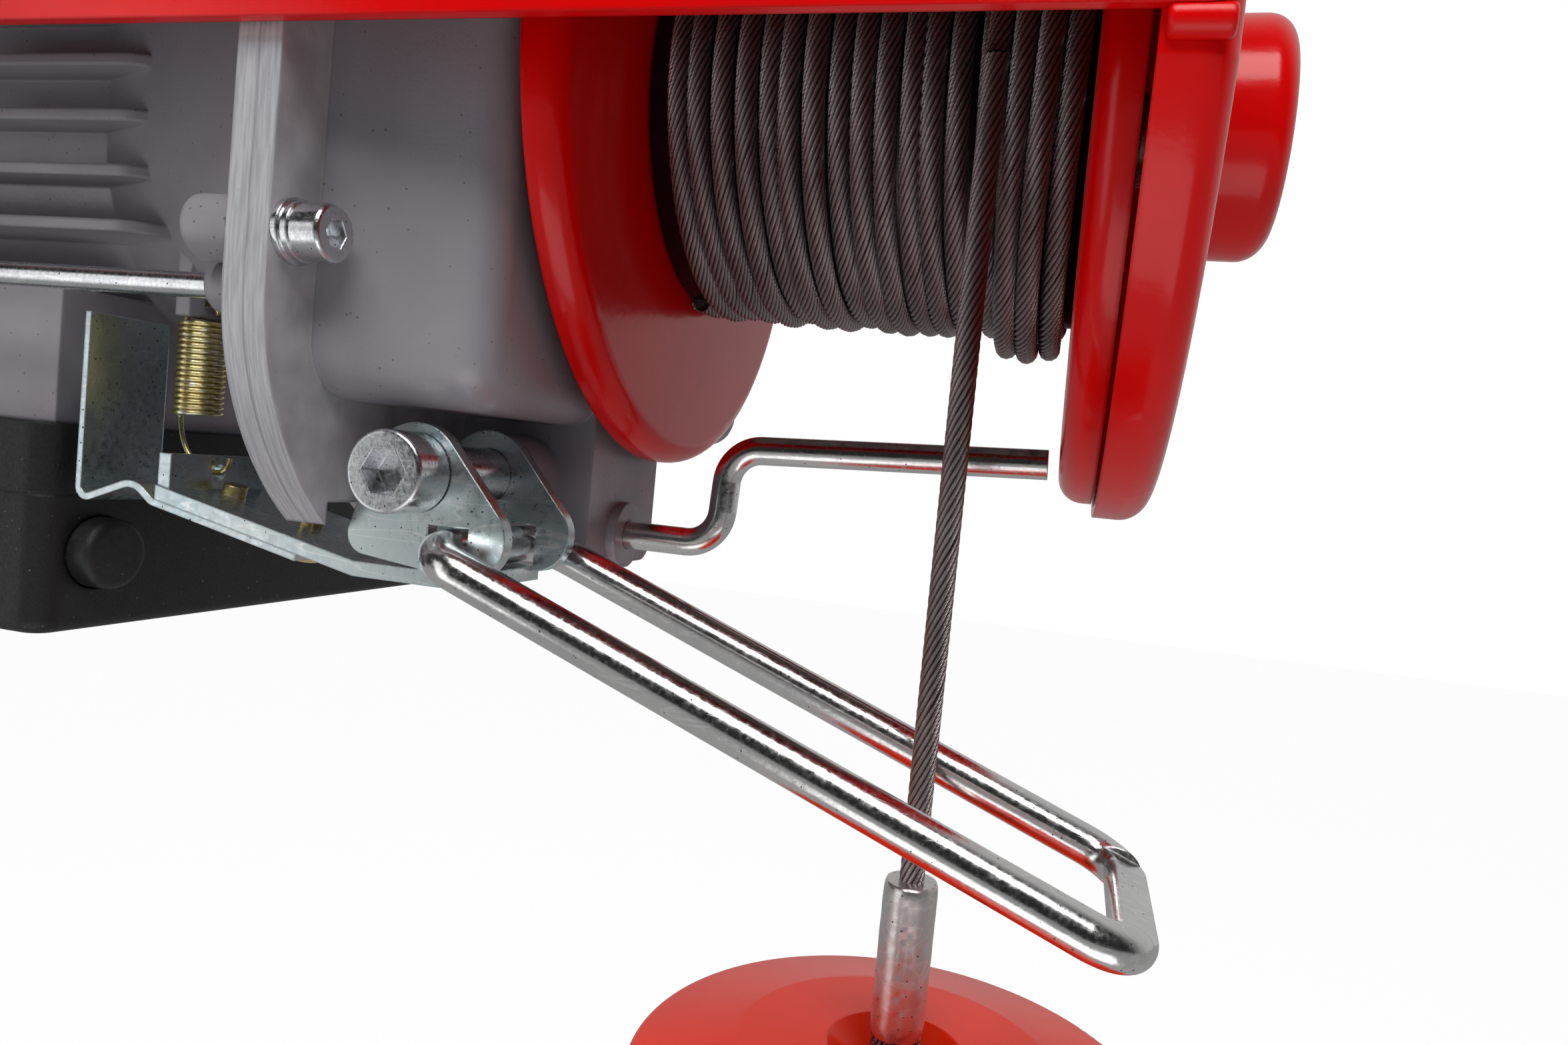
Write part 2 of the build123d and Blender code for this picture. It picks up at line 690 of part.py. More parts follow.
def tie_rods():
    rods = []
    flange_left = joint_x - flange_plate
    for y, z in tie_places:
        rods.append(rod_x_axis(tie_rod_r, shell_left - 15, flange_left - 1, y, z))
        rods.append(slab_x(Pos(y, z) * (RegularPolygon(tie_nut_r, 6) - Circle(tie_rod_r + 0.05)),
                           shell_left - 10.2, shell_left - 7))
    return rods


def case_screws():
    screws = []
    washer_stack = washer_thick + spring_washer_thick
    for y, z in case_screw_places:
        screw = socket_screw(*m5_cap, length=10.0, socket_r=2.3)
        screws.append(Pos(joint_x + flange_plate + washer_stack, y, z) * screw)
    return screws


def case_washers():
    """A plain washer and a split spring washer under each case screw."""
    washers = []
    seat = joint_x + flange_plate
    split_x = seat + washer_thick
    right = split_x + spring_washer_thick
    for y, z in case_screw_places:
        plain = ring_x(washer_r, m5_hole_r, seat, split_x, y, z)
        spring = ring_x(washer_r - 0.4, m5_hole_r, split_x, right, y, z)
        washers += [plain, spring - block(split_x, right, y - 0.3, y + 0.3, z + 2, z + 6)]
    return washers


# Motor inside

def stator_core():
    core = Circle(shell_half - shell_wall - bearing_fit) - Circle(rotor_r + air_gap)
    return slab_x(core, stack_left, stack_right)


def stator_windings():
    rings = []
    for x0, x1 in ((stack_left - winding_end, stack_left), (stack_right, stack_right + winding_end)):
        ring = ring_x(shell_half - shell_wall - 3, rotor_r + 3, x0, x1)
        rings.append(fillet(ring.edges(), 3.0))
    return rings


def rotor_core():
    core = ring_x(rotor_r, shaft_r + bearing_fit, stack_left, stack_right)
    for x0, x1 in ((stack_left - 6, stack_left), (stack_right, stack_right + 6)):
        core += ring_x(rotor_r - 2, shaft_r + bearing_fit, x0, x1)
    return core


def cooling_fan():
    """Fan on the shaft's end; its hub's right face is the brake's friction face."""
    left = shaft_left + 2
    hub_right = brake_magnet_x[0] - armature_thick - armature_gap
    hub = ring_x(fan_hub_r, shaft_r + bearing_fit, left, hub_right)
    back = ring_x(fan_r - 4, fan_hub_r - 1, hub_right - 3, hub_right)
    blade = block(left + 2, hub_right - 3, fan_hub_r - 1, fan_r, -1.0, 1.0)
    fan = hub + back
    for k in range(8):
        fan += Rot(45 * k, 0, 0) * blade
    return fan


def brake_magnet():
    left = brake_magnet_x[0]
    ring = ring_x(brake_r, shaft_r + 1.5, *brake_magnet_x)
    pocket = ring_x(coil_r, coil_bore_r, left, left + 8)
    return [ring - pocket, ring_x(coil_r - 0.2, coil_bore_r + 0.2, left + 0.4, left + 7.8)]


def brake_armature():
    x1 = brake_magnet_x[0] - armature_gap
    return ring_x(brake_r, shaft_r + 2.0, x1 - armature_thick, x1)


# Drum

def pressed_flange():
    """Pressed dish about X: flat face at X = 0, rim turned towards -X."""
    hole_r = barrel_r - barrel_wall
    profile = make_face(Polyline((0, hole_r), (0, flange_r), (-flange_depth, flange_r),
                                 (-flange_depth, flange_r - flange_sheet),
                                 (-flange_sheet, flange_r - flange_sheet),
                                 (-flange_sheet, hole_r), close=True))
    profile = round_corner(profile, 0, flange_r, flange_bend)
    profile = round_corner(profile, -flange_sheet, flange_r - flange_sheet,
                           flange_bend - flange_sheet)
    return revolve(profile, Axis.X)


def drum_barrel():
    """Barrel tube with a pressed-in end disc and hub at each end."""
    hub_r = drum_bearing[0] + 2.5 + bearing_fit
    barrel = ring_x(barrel_r, barrel_r - barrel_wall, 0, drum_length)
    for x0, x1 in ((0.0, 4.0), (drum_length - 4.0, drum_length)):
        barrel += ring_x(barrel_r - barrel_wall, hub_r, x0, x1)
    for x0, x1 in ((-flange_sheet, 12.0), (drum_length - 12.0, drum_length + flange_sheet)):
        barrel += ring_x(hub_r + 5, hub_r, x0, x1)
    return barrel


def rope_winding():
    """Outer shape of the wound rope: three full layers and a part of a fourth."""
    left = rope_side_gap
    right = drum_length - rope_side_gap
    full = ring_x(winding_r, barrel_r + 0.02, left, right)
    last = ring_x(winding_r + layer_step, winding_r - 1, top_layer_start, rope_x - rope_d)
    end = ring_x(winding_r + layer_step, winding_r - 1, rope_x + rope_d, right)
    return full + last + end


# Rope and hook set

def rope_free():
    return rod_z_axis(rope_d / 2, ferrule_top, 0, rope_x, rope_y)


def ferrule():
    body = rod_z_axis(ferrule_r, ferrule_top - ferrule_len, ferrule_top, rope_x, rope_y)
    return chamfer(body.edges(), 0.8)


def rope_loop():
    """The rope below the ferrule: down, round the thimble and back up."""
    half = rope_d / 2 + 0.05
    out = thimble_r + rope_d / 2 + 0.1
    top = ferrule_top - ferrule_len
    neck_z = disc_top - disc_sheet - 8
    side_z = thimble_z + 5
    low_z = thimble_z - out
    points = [(-half, 0, top), (-half, 0, neck_z), (-out, 0, side_z), (-out, 0, low_z),
              (out, 0, low_z), (out, 0, side_z), (half, 0, neck_z), (half, 0, top)]
    bend = out - 0.2
    path = FilletPolyline(*points, radius=[14, 10, bend, bend, 10, 14])
    section = Plane(origin=path @ 0, z_dir=path % 0) * Circle(rope_d / 2)
    return Pos(rope_x, rope_y, 0) * sweep(section, path=path)


def thimble():
    wheel = rod_y_axis(thimble_r, -rope_d / 2, rope_d / 2, 0, thimble_z)
    bore = rod_y_axis(thimble_pin_r + 0.05, -rope_d, rope_d, 0, thimble_z)
    return Pos(rope_x, rope_y, 0) * (wheel - bore)


def stop_disc():
    """Dished disc that lifts the stirrup, with a hub that stands on the hook block."""
    rim_z = disc_top - disc_drop
    outer = make_face(Polyline((disc_hole_r, disc_top - 4.0), (disc_well_r - 3, disc_top - 4.0),
                               (disc_well_r, disc_top), (disc_r * 0.6, disc_top - 1.0),
                               (disc_r, rim_z), (disc_r, rim_z - disc_sheet),
                               (disc_r * 0.6, disc_top - 1.0 - disc_sheet),
                               (disc_hub_r, disc_top - disc_sheet - 1.0), (disc_hub_r, block_top),
                               (9.0, block_top), (9.0, disc_top - 4.0 - disc_sheet),
                               (disc_hole_r, disc_top - 4.0 - disc_sheet), close=True))
    outer = round_corner(outer, disc_r, rim_z, 1.4)
    face = Plane.XZ * outer
    return Pos(rope_x, rope_y, 0) * revolve(face, Axis.Z)


def hook_block_half(front):
    """One half of the turned hook block, split on the rope's plane."""
    bottom = block_bottom
    profile = Pos(block_r / 2, (block_top + bottom) / 2) * Rectangle(block_r, block_len)
    profile = round_corner(profile, block_r, block_top, 3.0)
    profile = round_corner(profile, block_r, bottom, 8.0)
    body = revolve(Plane.XZ * profile, Axis.Z)
    slot_half = rope_d / 2 + 0.6
    slot_reach = thimble_r + rope_d + 1.5
    body -= block(-slot_reach, slot_reach, -slot_half, slot_half, thimble_z - slot_reach, block_top)
    body -= rod_z_axis(9.2, block_top - 6, block_top, 0, 0)
    body -= rod_z_axis(11.0, bottom + 6, bottom + 18, 0, 0)
    body -= rod_z_axis(shank_r + 0.1, bottom, bottom + 7, 0, 0)
    body -= rod_y_axis(thimble_pin_r, -block_r, block_r, 0, thimble_z)
    for x in (-block_screw_x, block_screw_x):
        body -= rod_y_axis(m5_hole_r, -block_r, block_r, x, block_screw_z)
        body -= rod_y_axis(m5_cap[1] + 0.3, -block_r, -block_screw_seat, x, block_screw_z)
    reach = block_r + 1
    y0, y1 = (-reach, 0) if front else (0, reach)
    keep = block(-reach, reach, y0, y1, bottom - 1, block_top + 1)
    return Pos(rope_x, rope_y, 0) * (body & keep)


def block_fasteners():
    """The thimble's cross pin and the two screws that hold the block's halves."""
    pieces = [rod_y_axis(thimble_pin_r - 0.03, -block_r + 2, block_r - 2, 0, thimble_z)]
    for x in (-block_screw_x, block_screw_x):
        screw = Rot(0, 0, -90) * socket_screw(*m5_cap, length=16.0, socket_r=2.3)
        pieces.append(Pos(x, -block_screw_seat, block_screw_z) * screw)
    return [Pos(rope_x, rope_y, 0) * p for p in pieces]


def hook():
    """Forged hook: shank, collar, a neck and a bowl that tapers to a round point."""
    z = hook_centre_z
    bottom = block_bottom
    sections = []
    for k in range(hook_section_count + 1):
        share = k / hook_section_count
        angle = math.radians(90 + share * hook_sweep)
        width = hook_width + (hook_tip_d - hook_width) * share ** 3
        thick = hook_thick + (hook_tip_d - hook_thick) * share ** 3
        reach = throat_r + width / 2
        out = (math.cos(angle), 0, math.sin(angle))
        along = (-math.sin(angle), 0, math.cos(angle))
        plane = Plane(origin=(reach * out[0], 0, z + reach * out[2]), x_dir=out, z_dir=along)
        sections.append(plane * Ellipse(width / 2, thick / 2))
    bowl = loft(sections)
    bowl += Pos(reach * out[0], 0, z + reach * out[2]) * Sphere(hook_tip_d / 2)
    neck_z = z + throat_r + hook_width / 2
    neck = Pos(0, 0, neck_z) * Sphere(hook_width / 2 + 0.4)
    neck += rod_z_axis(hook_width / 2 - 0.4, neck_z, bottom - 6, 0, 0)
    shank = rod_z_axis(shank_r, bottom - 4, bottom + 15.5, 0, 0)
    collar = rod_z_axis(9.0, bottom - 7, bottom - 0.3, 0, 0)
    body = bowl + neck + shank + collar
    body -= rod_y_axis(latch_pin_r, -hook_width, hook_width, latch_x, latch_z)
    return Pos(rope_x, rope_y, 0) * body


def hook_nut():
    bottom = block_bottom
    nut = slab_z(RegularPolygon(8.0, 6) - Circle(shank_r + 0.03), bottom + 8, bottom + 14.5)
    race = slab_z(Circle(10.0) - Circle(shank_r + 0.03), bottom + 6.1, bottom + 8)
    return [Pos(rope_x, rope_y, 0) * nut, Pos(rope_x, rope_y, 0) * race]


def latch():
    """Sheet latch: two ears on the pin and a tongue that closes the mouth on the inside."""
    z = hook_centre_z
    outline = make_hull((Pos(latch_x, latch_z) * Circle(latch_ear_r)).edges()
                        + (Pos(throat_r - 2.7, z + 3.5) * Circle(latch_pin_r)).edges())
    plate = slab_y(outline, -latch_half, latch_half)
    inner_half = latch_half - latch_sheet
    plate -= slab_y(Pos(latch_x, latch_z) * Circle(10.0), -inner_half, inner_half)
    tongue_half = inner_half - 2.7
    for side in (-1, 1):
        plate -= Pos(0, side * (latch_half + tongue_half) / 2, z + 1) \
            * Box(4 * throat_r, latch_half - tongue_half, 14)
    plate -= rod_y_axis(latch_pin_r + pivot_clear, -latch_half, latch_half, latch_x, latch_z)
    return Pos(rope_x, rope_y, 0) * plate


def latch_pin():
    reach = latch_half + 1.0
    pin = rod_y_axis(latch_pin_r - 0.02, -reach, reach, latch_x, latch_z)
    return Pos(rope_x, rope_y, 0) * pin


# Upper limit lever

def bar_z(x):
    """Height of the lever bar's lower face at x; the bar rises to the left of its fold."""
    floor_z = stirrup_hole_z - stirrup_d / 2 - 0.4 - lever_sheet
    return floor_z + max(lever_fold_x - x, 0) * math.tan(math.radians(lever_tilt))


def ear_outline():
    """Side view of an ear, round the pivot and round the stirrup's square hole."""
    return make_hull((Pos(pivot_x, pivot_z) * Circle(8.0)).edges()
                     + (Pos(stirrup_hole_x + 3.5, stirrup_hole_z + 2.0) * Circle(6.5)).edges()
                     + (Pos(lever_fold_x + 2.0, stirrup_hole_z + 1.0) * Circle(3.4)).edges())


def lever_bracket():
    """Bent plate: two ears, a floor between them, and a bar to the upturned spring tab."""
    ear = ear_outline()
    hole = Pos(stirrup_hole_x, stirrup_hole_z) * Rectangle(stirrup_d + 0.7, stirrup_d + 0.7)
    bore = Pos(pivot_x, pivot_z) * Circle(bracket_bore_r + pivot_clear)
    bracket = slab_y(ear - hole - bore, lever_front, lever_front + lever_sheet)
    bracket += slab_y(ear - hole - bore, lever_rear - lever_sheet, lever_rear)
    right = stirrup_hole_x + 3.5
    t = lever_sheet
    xs = (right, lever_fold_x, lever_tab_x)
    floor = make_face(Polyline(*[(x, bar_z(x)) for x in xs],
                               *[(x, bar_z(x) + t) for x in reversed(xs)], close=True))
    bracket += slab_y(floor, lever_front, lever_rear)
    tab_z = bar_z(lever_tab_x)
    bracket += block(lever_tab_x, lever_tab_x + t, lever_front + 0.5, lever_rear - 2,
                     tab_z, tab_z + tab_height)
    bracket -= rod_x_axis(1.5, lever_tab_x - 1, lever_tab_x + 4, spring_y, tab_z + 5.0)
    for x in lever_screw_xs:
        bracket -= lever_screw_place(x) * Cylinder(lever_screw_r + 0.05, 12)
    return bracket


def lever_screw_place(x):
    """Axis of a screw square to the bar, with its origin on the bar's lower face."""
    return Pos(x, spring_y, bar_z(x)) * Rot(0, lever_tilt, 0)


def stirrup():
    """Closed loop of round rod: a cross bar in the ears, two arms and a flattened end."""
    z0, z1 = stirrup_hole_z, stirrup_end_z
    x0, x1 = stirrup_hole_x, stirrup_end_x
    near, far = stirrup_near_y, stirrup_far_y
    points = [(x0, near / 2 + far / 2, z0), (x0, near, z0), (x1, near, z1), (x1, far, z1),
              (x0, far, z0), (x0, near / 2 + far / 2 + 0.01, z0)]
    path = FilletPolyline(*points, radius=[stirrup_corner_r] * 4)
    section = Plane(origin=path @ 0, z_dir=path % 0) * Circle(stirrup_d / 2)
    loop = sweep(section, path=path)
    slope = math.degrees(math.atan2(z0 - z1, x1 - x0))
    press_half = (far - near - stirrup_d) / 2
    press = Box(stirrup_d + 4, 2 * press_half, stirrup_d)
    for side in (-1, 1):
        lift = side * (stirrup_flat + stirrup_d) / 2
        loop -= Pos(x1, (near + far) / 2, z1) * Rot(0, slope, 0) * Pos(0, 0, lift) * press
    return loop


def switch_plate():
    """Thin plate under the bar, arched beside it, whose tall leaf works the upper switch."""
    half = leaf_sheet / 2
    right = lever_fold_x - 11
    left = lever_tab_x - 0.8
    leaf_mid = leaf_x + half
    drop = half / math.cos(math.radians(lever_tilt))
    path = FilletPolyline((right, bar_z(right) - drop), (left, bar_z(left) - drop),
                          (left - 4.0, bar_z(left) + leaf_hump / 2), (leaf_mid, leaf_low + half),
                          (leaf_mid, leaf_high), radius=[2.5, 4.0, 1.8])
    plate = slab_y(trace(path, leaf_sheet), lever_front, lever_front + leaf_width)
    for x in lever_screw_xs:
        plate -= lever_screw_place(x) * Cylinder(lever_screw_r + 0.05, 12)
    return plate


def lever_screws():
    """Two pan head screws from below, through the switch plate into the bar."""
    head = Pos(0, 0, -leaf_sheet - 1.35) * Cylinder(3.9, 2.6)
    head = fillet(head.edges().sort_by(Axis.Z)[0], 1.6)
    screw = head + Pos(0, 0, 1.45) * Cylinder(lever_screw_r, 5.9)
    return [lever_screw_place(x) * screw for x in lever_screw_xs]


def lever_spring():
    """Outer shape of the closely wound return spring, hung between lug and tab."""
    return rod_z_axis(spring_r, *spring_span(), spring_x, spring_y)


def pivot_bolt():
    length = pivot_boss_front - lever_front + pivot_thread - 0.5
    screw = Rot(0, 0, -90) * socket_screw(*m8_cap, length=length, socket_r=3.9)
    return Pos(pivot_x, lever_front - 0.3, pivot_z) * screw


def pivot_sleeve():
    sleeve = Pos(pivot_x, pivot_z) * (Circle(bracket_bore_r) - Circle(m8_cap[0] + 0.05))
    return slab_y(sleeve, lever_front - 0.3, pivot_boss_front)


# Lower limit rod

def limit_rod():
    """Cranked rod that lies under the winding and turns in the case's lobe."""
    points = [(rod_left, rod_y, rod_z), (rod_leg_x, rod_y, rod_z),
              (rod_leg_x + 1, rod_y, rod_high_z - 1), (rod_right, rod_y, rod_high_z + 1.5)]
    path = FilletPolyline(*points, radius=[rod_bend_r, rod_bend_r])
    section = Plane(origin=path @ 0, z_dir=path % 0) * Circle(rod_d / 2)
    rod = sweep(section, path=path)
    flat = Pos(rod_y, rod_z + rod_d / 2 + 3) * Rectangle(12, 6)
    cam = slab_x(Pos(rod_y, rod_z) * Circle(cam_r) - flat, rod_left + 2, rod_left + 8)
    return rod + cam


# Control box

def box_outline(inset=0.0):
    middle = (box_left + box_right) / 2
    return Pos(middle, 0) * RectangleRounded(box_right - box_left - 2 * inset,
                                             2 * (box_half - inset), box_corner_r - inset / 2)


def control_box():
    shell = slab_z(box_outline(), box_joint_z, box_top)
    shell -= slab_z(box_outline(box_wall), box_joint_z, box_top - box_wall)
    return shell


def box_lid():
    shell = slab_z(box_outline(), box_bottom, box_joint_z)
    shell = fillet(shell.faces().sort_by(Axis.Z)[0].edges(), 2.5)
    shell -= slab_z(box_outline(box_wall), box_bottom + box_wall, box_joint_z)
    shell -= rod_x_axis(plunger_r + 0.3, box_right - box_wall - 1, box_right + 1, plunger_y, plunger_z)
    for y in gland_ys:
        shell -= rod_x_axis(7.9, box_left - 1, box_left + box_wall + 1, y, gland_z)
    for x, y in lid_screw_places():
        shell += rod_z_axis(lid_pillar_r, box_bottom + box_wall, box_joint_z, x, y)
        shell -= rod_z_axis(2.2, box_bottom, box_joint_z, x, y)
        shell -= rod_z_axis(3.9, box_bottom, box_bottom + 2.6, x, y)
    return shell


def lid_screw_places():
    """One pillar in each corner, but beside the plunger's switch in the front right one."""
    inset = box_wall + lid_pillar_r + 0.5
    left, right, rear = box_left + inset, box_right - inset, box_half - inset
    return [(left, -rear), (left, rear), (right, rear), (right, plunger_y + 16.0)]


def lid_screws():
    """Pan head screws from below, through the lid's pillars."""
    screws = []
    for x, y in lid_screw_places():
        head = rod_z_axis(3.6, box_bottom + 0.2, box_bottom + 2.6, x, y)
        screws.append(head + rod_z_axis(2.0, box_bottom + 2.6, box_joint_z - 0.5, x, y))
    return screws


def cable_glands():
    glands = []
    for y in gland_ys:
        thread = ring_x(7.8, 5.0, box_left, box_left + box_wall + 4, y, gland_z)
        nut = slab_x(Pos(y, gland_z) * (RegularPolygon(11.0, 6) - Circle(5.0)), box_left - 6, box_left)
        dome = ring_x(9.0, 5.0, box_left - 14, box_left - 6, y, gland_z)
        glands.append(thread + nut + fillet(dome.edges().sort_by(Axis.X)[0:1], 1.5))
    return glands


def upper_plunger():
    """Rubber-capped plunger of the upper limit switch."""
    cap = rod_x_axis(plunger_r, box_right - 6, box_right + plunger_out, plunger_y, plunger_z)
    cap = fillet(cap.edges().sort_by(Axis.X)[-1], 1.6)
    return cap


def limit_switches():
    """Switch bodies: one inside the box, one in the case's lobe."""
    upper = block(box_right - 34, box_right - 10, plunger_y - 8, plunger_y + 8,
                  box_bottom + box_wall, plunger_z + 9)
    lower = block(rod_left + 1, rod_left + 9, rod_y + 5, lobe_rear - case_wall, rod_z + 5.5, rod_z + 14.5)
    return [upper, lower]


def capacitor():
    return rod_x_axis(capacitor_r, box_left + 20, box_left + 80, box_half / 2, box_top - 18.6)


# Hangers

def hanger():
    half = beam_size / 2 + beam_play
    height = beam_size + beam_play
    foot = hanger_bolt_y + 14.0
    outer = Pos(0, frame_top + (height + hanger_sheet) / 2) \
        * Rectangle(2 * (half + hanger_sheet), height + hanger_sheet)
    inner = Pos(0, frame_top + height / 2) * Rectangle(2 * half, height)
    for side in (-1, 1):
        outer = round_corner(outer, side * (half + hanger_sheet), frame_top + height + hanger_sheet, 7.0)
        inner = round_corner(inner, side * half, frame_top + height, 2.0)
    feet = Pos(0, frame_top + hanger_sheet / 2) * Rectangle(2 * foot, hanger_sheet)
    strap = slab_x(outer + feet - inner, -hanger_width / 2, hanger_width / 2)
    for side in (-1, 1):
        strap -= rod_z_axis(m8_hole_r, frame_top, frame_top + hanger_sheet, 0, side * hanger_bolt_y)
    return strap


def hangers():
    return [Pos(x, 0, 0) * hanger() for x in (hanger_left_x, hanger_left_x + hanger_spacing)]


def frame_bolts():
    """Hexagon bolts and nuts of the hangers, and the bolts into the castings."""
    pieces = []
    for x, y in hanger_holes():
        bolt = hex_bolt(*m8_hex, length=hanger_sheet + frame_sheet + 9)
        pieces.append(Pos(x, y, frame_top + hanger_sheet) * bolt)
        pieces.append(Pos(x, y, frame_inner_top) * hex_nut_z(m8_hex[0] + 0.02, m8_hex[1], 6.5))
    for x, y in body_bolt_places():
        pieces.append(Pos(x, y, frame_top) * hex_bolt(*m8_hex, length=frame_sheet + 10))
    return pieces


os.makedirs("parts", exist_ok=True)

drum_end_bearing = bearing(plate_right + 0.3, drum_bearing)
drum_case_bearing = bearing(case_right - 2.0 - drum_bearing[2], drum_bearing)
rotor_front_bearing = bearing(motor_wall_x - 9.5, rotor_bearing)
rotor_rear_bearing = bearing(shell_left - rotor_bearing[2], rotor_bearing)

save("frame_channel", frame_channel())
save("end_plate", end_plate())
save("weld_beads", *weld_beads())
save("bearing_cap", bearing_cap())
save("hangers", *hangers())
save("frame_bolts", *frame_bolts())
save("gear_case", gear_case())
save("motor_housing", motor_housing())
save("motor_end_cover", motor_end_cover())
save("fan_cover", fan_cover())
save("tie_rods", *tie_rods())
save("case_screws", *case_screws())
save("case_washers", *case_washers())
save("stator_core", stator_core())
save("stator_windings", *stator_windings())
save("brake_magnet", *brake_magnet())
save("brake_armature", brake_armature())
save("rotor_core", rotor_core())
save("motor_shaft", motor_shaft())
save("cooling_fan", cooling_fan())
save("countershaft", countershaft())
save("countershaft_gear", countershaft_gear())
save("counter_bushes", *counter_bushes())
save("output_gear", output_gear())
save("drum_shaft", drum_shaft())
save("drum_barrel", drum_barrel())
save("drum_flange_left", pressed_flange())
save("drum_flange_right", Pos(drum_length, 0, 0) * mirror(pressed_flange(), Plane.YZ))
save("rope_winding", rope_winding())
save("bearing_outers", *drum_end_bearing[0], *drum_case_bearing[0],
     *rotor_front_bearing[0], *rotor_rear_bearing[0])
save("drum_bearing_inners", drum_end_bearing[1], drum_case_bearing[1])
save("rotor_bearing_inners", rotor_front_bearing[1], rotor_rear_bearing[1])
save("rope_free", rope_free())
save("ferrule", ferrule())
save("rope_loop", rope_loop())
save("thimble", thimble())
save("stop_disc", stop_disc())
save("hook_block_front", hook_block_half(True))
save("hook_block_back", hook_block_half(False))
save("block_fasteners", *block_fasteners())
save("hook", hook())
save("hook_nut", *hook_nut())
save("latch", latch())
save("latch_pin", latch_pin())
save("lever_bracket", lever_bracket())
save("stirrup", stirrup())
save("switch_plate", switch_plate())
save("lever_screws", *lever_screws())
save("lever_spring", lever_spring())
save("pivot_bolt", pivot_bolt())
save("pivot_sleeve", pivot_sleeve())
save("limit_rod", limit_rod())
save("control_box", control_box())
save("box_lid", box_lid())
save("lid_screws", *lid_screws())
save("cable_glands", *cable_glands())
save("upper_plunger", upper_plunger())
save("limit_switches", *limit_switches())
save("capacitor", capacitor())
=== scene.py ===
# %% [markdown]
# # A small wire rope hoist
#
# The hoist hangs from a beam. A motor on the left turns a drum on the right through a gear
# case, and the rope leaves the drum, passes through a long stirrup and carries a hook block.
# The rigid pieces come from the construction model, already in their places. This lesson adds
# what that model keeps plain: the stranded rope on the drum and in the air, the coil spring,
# the pressed ferrule and the surface of every part.

# %% Load the model
import math
import json
import bpy
import bmesh
from mathutils import Matrix, Vector, noise


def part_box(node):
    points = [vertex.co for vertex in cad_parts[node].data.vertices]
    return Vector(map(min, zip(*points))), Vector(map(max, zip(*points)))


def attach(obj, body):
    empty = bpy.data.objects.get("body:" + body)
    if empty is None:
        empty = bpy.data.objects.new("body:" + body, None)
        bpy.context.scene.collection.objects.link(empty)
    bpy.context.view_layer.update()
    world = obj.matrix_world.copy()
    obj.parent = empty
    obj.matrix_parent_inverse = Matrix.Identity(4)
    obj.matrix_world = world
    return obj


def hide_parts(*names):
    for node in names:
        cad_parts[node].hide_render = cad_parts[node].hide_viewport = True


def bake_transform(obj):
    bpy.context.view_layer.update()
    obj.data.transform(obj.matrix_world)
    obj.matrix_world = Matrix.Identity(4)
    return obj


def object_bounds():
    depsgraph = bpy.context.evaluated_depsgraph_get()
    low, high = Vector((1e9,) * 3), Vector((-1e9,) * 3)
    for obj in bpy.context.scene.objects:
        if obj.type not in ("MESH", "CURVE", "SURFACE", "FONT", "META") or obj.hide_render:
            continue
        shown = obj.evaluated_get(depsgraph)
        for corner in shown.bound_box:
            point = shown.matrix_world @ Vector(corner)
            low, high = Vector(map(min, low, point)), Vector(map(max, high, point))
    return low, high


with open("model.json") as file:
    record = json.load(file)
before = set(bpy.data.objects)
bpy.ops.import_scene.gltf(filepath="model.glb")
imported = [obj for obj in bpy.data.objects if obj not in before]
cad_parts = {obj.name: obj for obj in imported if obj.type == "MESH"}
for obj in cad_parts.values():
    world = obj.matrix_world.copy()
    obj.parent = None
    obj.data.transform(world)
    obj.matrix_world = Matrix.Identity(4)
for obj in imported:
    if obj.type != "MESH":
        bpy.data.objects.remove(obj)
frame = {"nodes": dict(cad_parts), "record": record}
nodes = frame["nodes"]
cad_low, cad_high = [list(corner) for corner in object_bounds()]
print("loaded", len(nodes), "nodes; low corner", [round(v, 4) for v in cad_low])

# %% [markdown]
# ## Camera
#
# The view is close and from slightly below, so the near rod looks much larger than the far
# one. The lens and the place were found by fitting the round drum flange, the end plate and
# the gear case to the picture. A wide lens close by gives this strong perspective, and a long
# lens farther away would flatten it.

# %% Camera
camera_data = bpy.data.cameras.new("camera")
camera_data.sensor_width = 36.0
camera_data.lens = 24.837
camera = bpy.data.objects.new("camera", camera_data)
bpy.context.scene.collection.objects.link(camera)
camera.matrix_world = Matrix.Translation((0.107713, -0.210402, -0.143074)) @ Matrix((
    (0.961654, -0.105257, 0.253263, 0),
    (0.257066, 0.024061, -0.966094, 0),
    (0.095594, 0.994154, 0.050197, 0),
    (0, 0, 0, 1)))
camera_data.clip_start = 0.005
bpy.context.scene.camera = camera
print("camera at", [round(v, 3) for v in camera.matrix_world.translation])

# %% [markdown]
# ## Small helpers for node trees
#
# Every finish below is a node tree. These helpers keep each tree short: one adds a node and
# sets its inputs, one joins two sockets, and one makes a colour ramp.

# %% Node helpers
def add(tree, kind, **inputs):
    """Adds a node; inputs are given by name with _ for a space, and set or linked."""
    node = tree.nodes.new(kind)
    for name, value in inputs.items():
        put(tree, value, node.inputs[name.replace("_", " ")])
    return node


def put(tree, value, socket):
    """Links an output socket to an input, or sets the input's own value."""
    if isinstance(value, bpy.types.NodeSocket):
        tree.links.new(value, socket)
    else:
        socket.default_value = value


def ramp(tree, factor, stops):
    """A colour ramp with stops of (position, grey or colour)."""
    node = add(tree, "ShaderNodeValToRGB", Fac=factor)
    while len(node.color_ramp.elements) < len(stops):
        node.color_ramp.elements.new(0.5)
    for element, (position, colour) in zip(node.color_ramp.elements, stops):
        element.position = position
        element.color = (colour,) * 3 + (1,) if isinstance(colour, float) else (*colour, 1)
    return node.outputs["Color"]


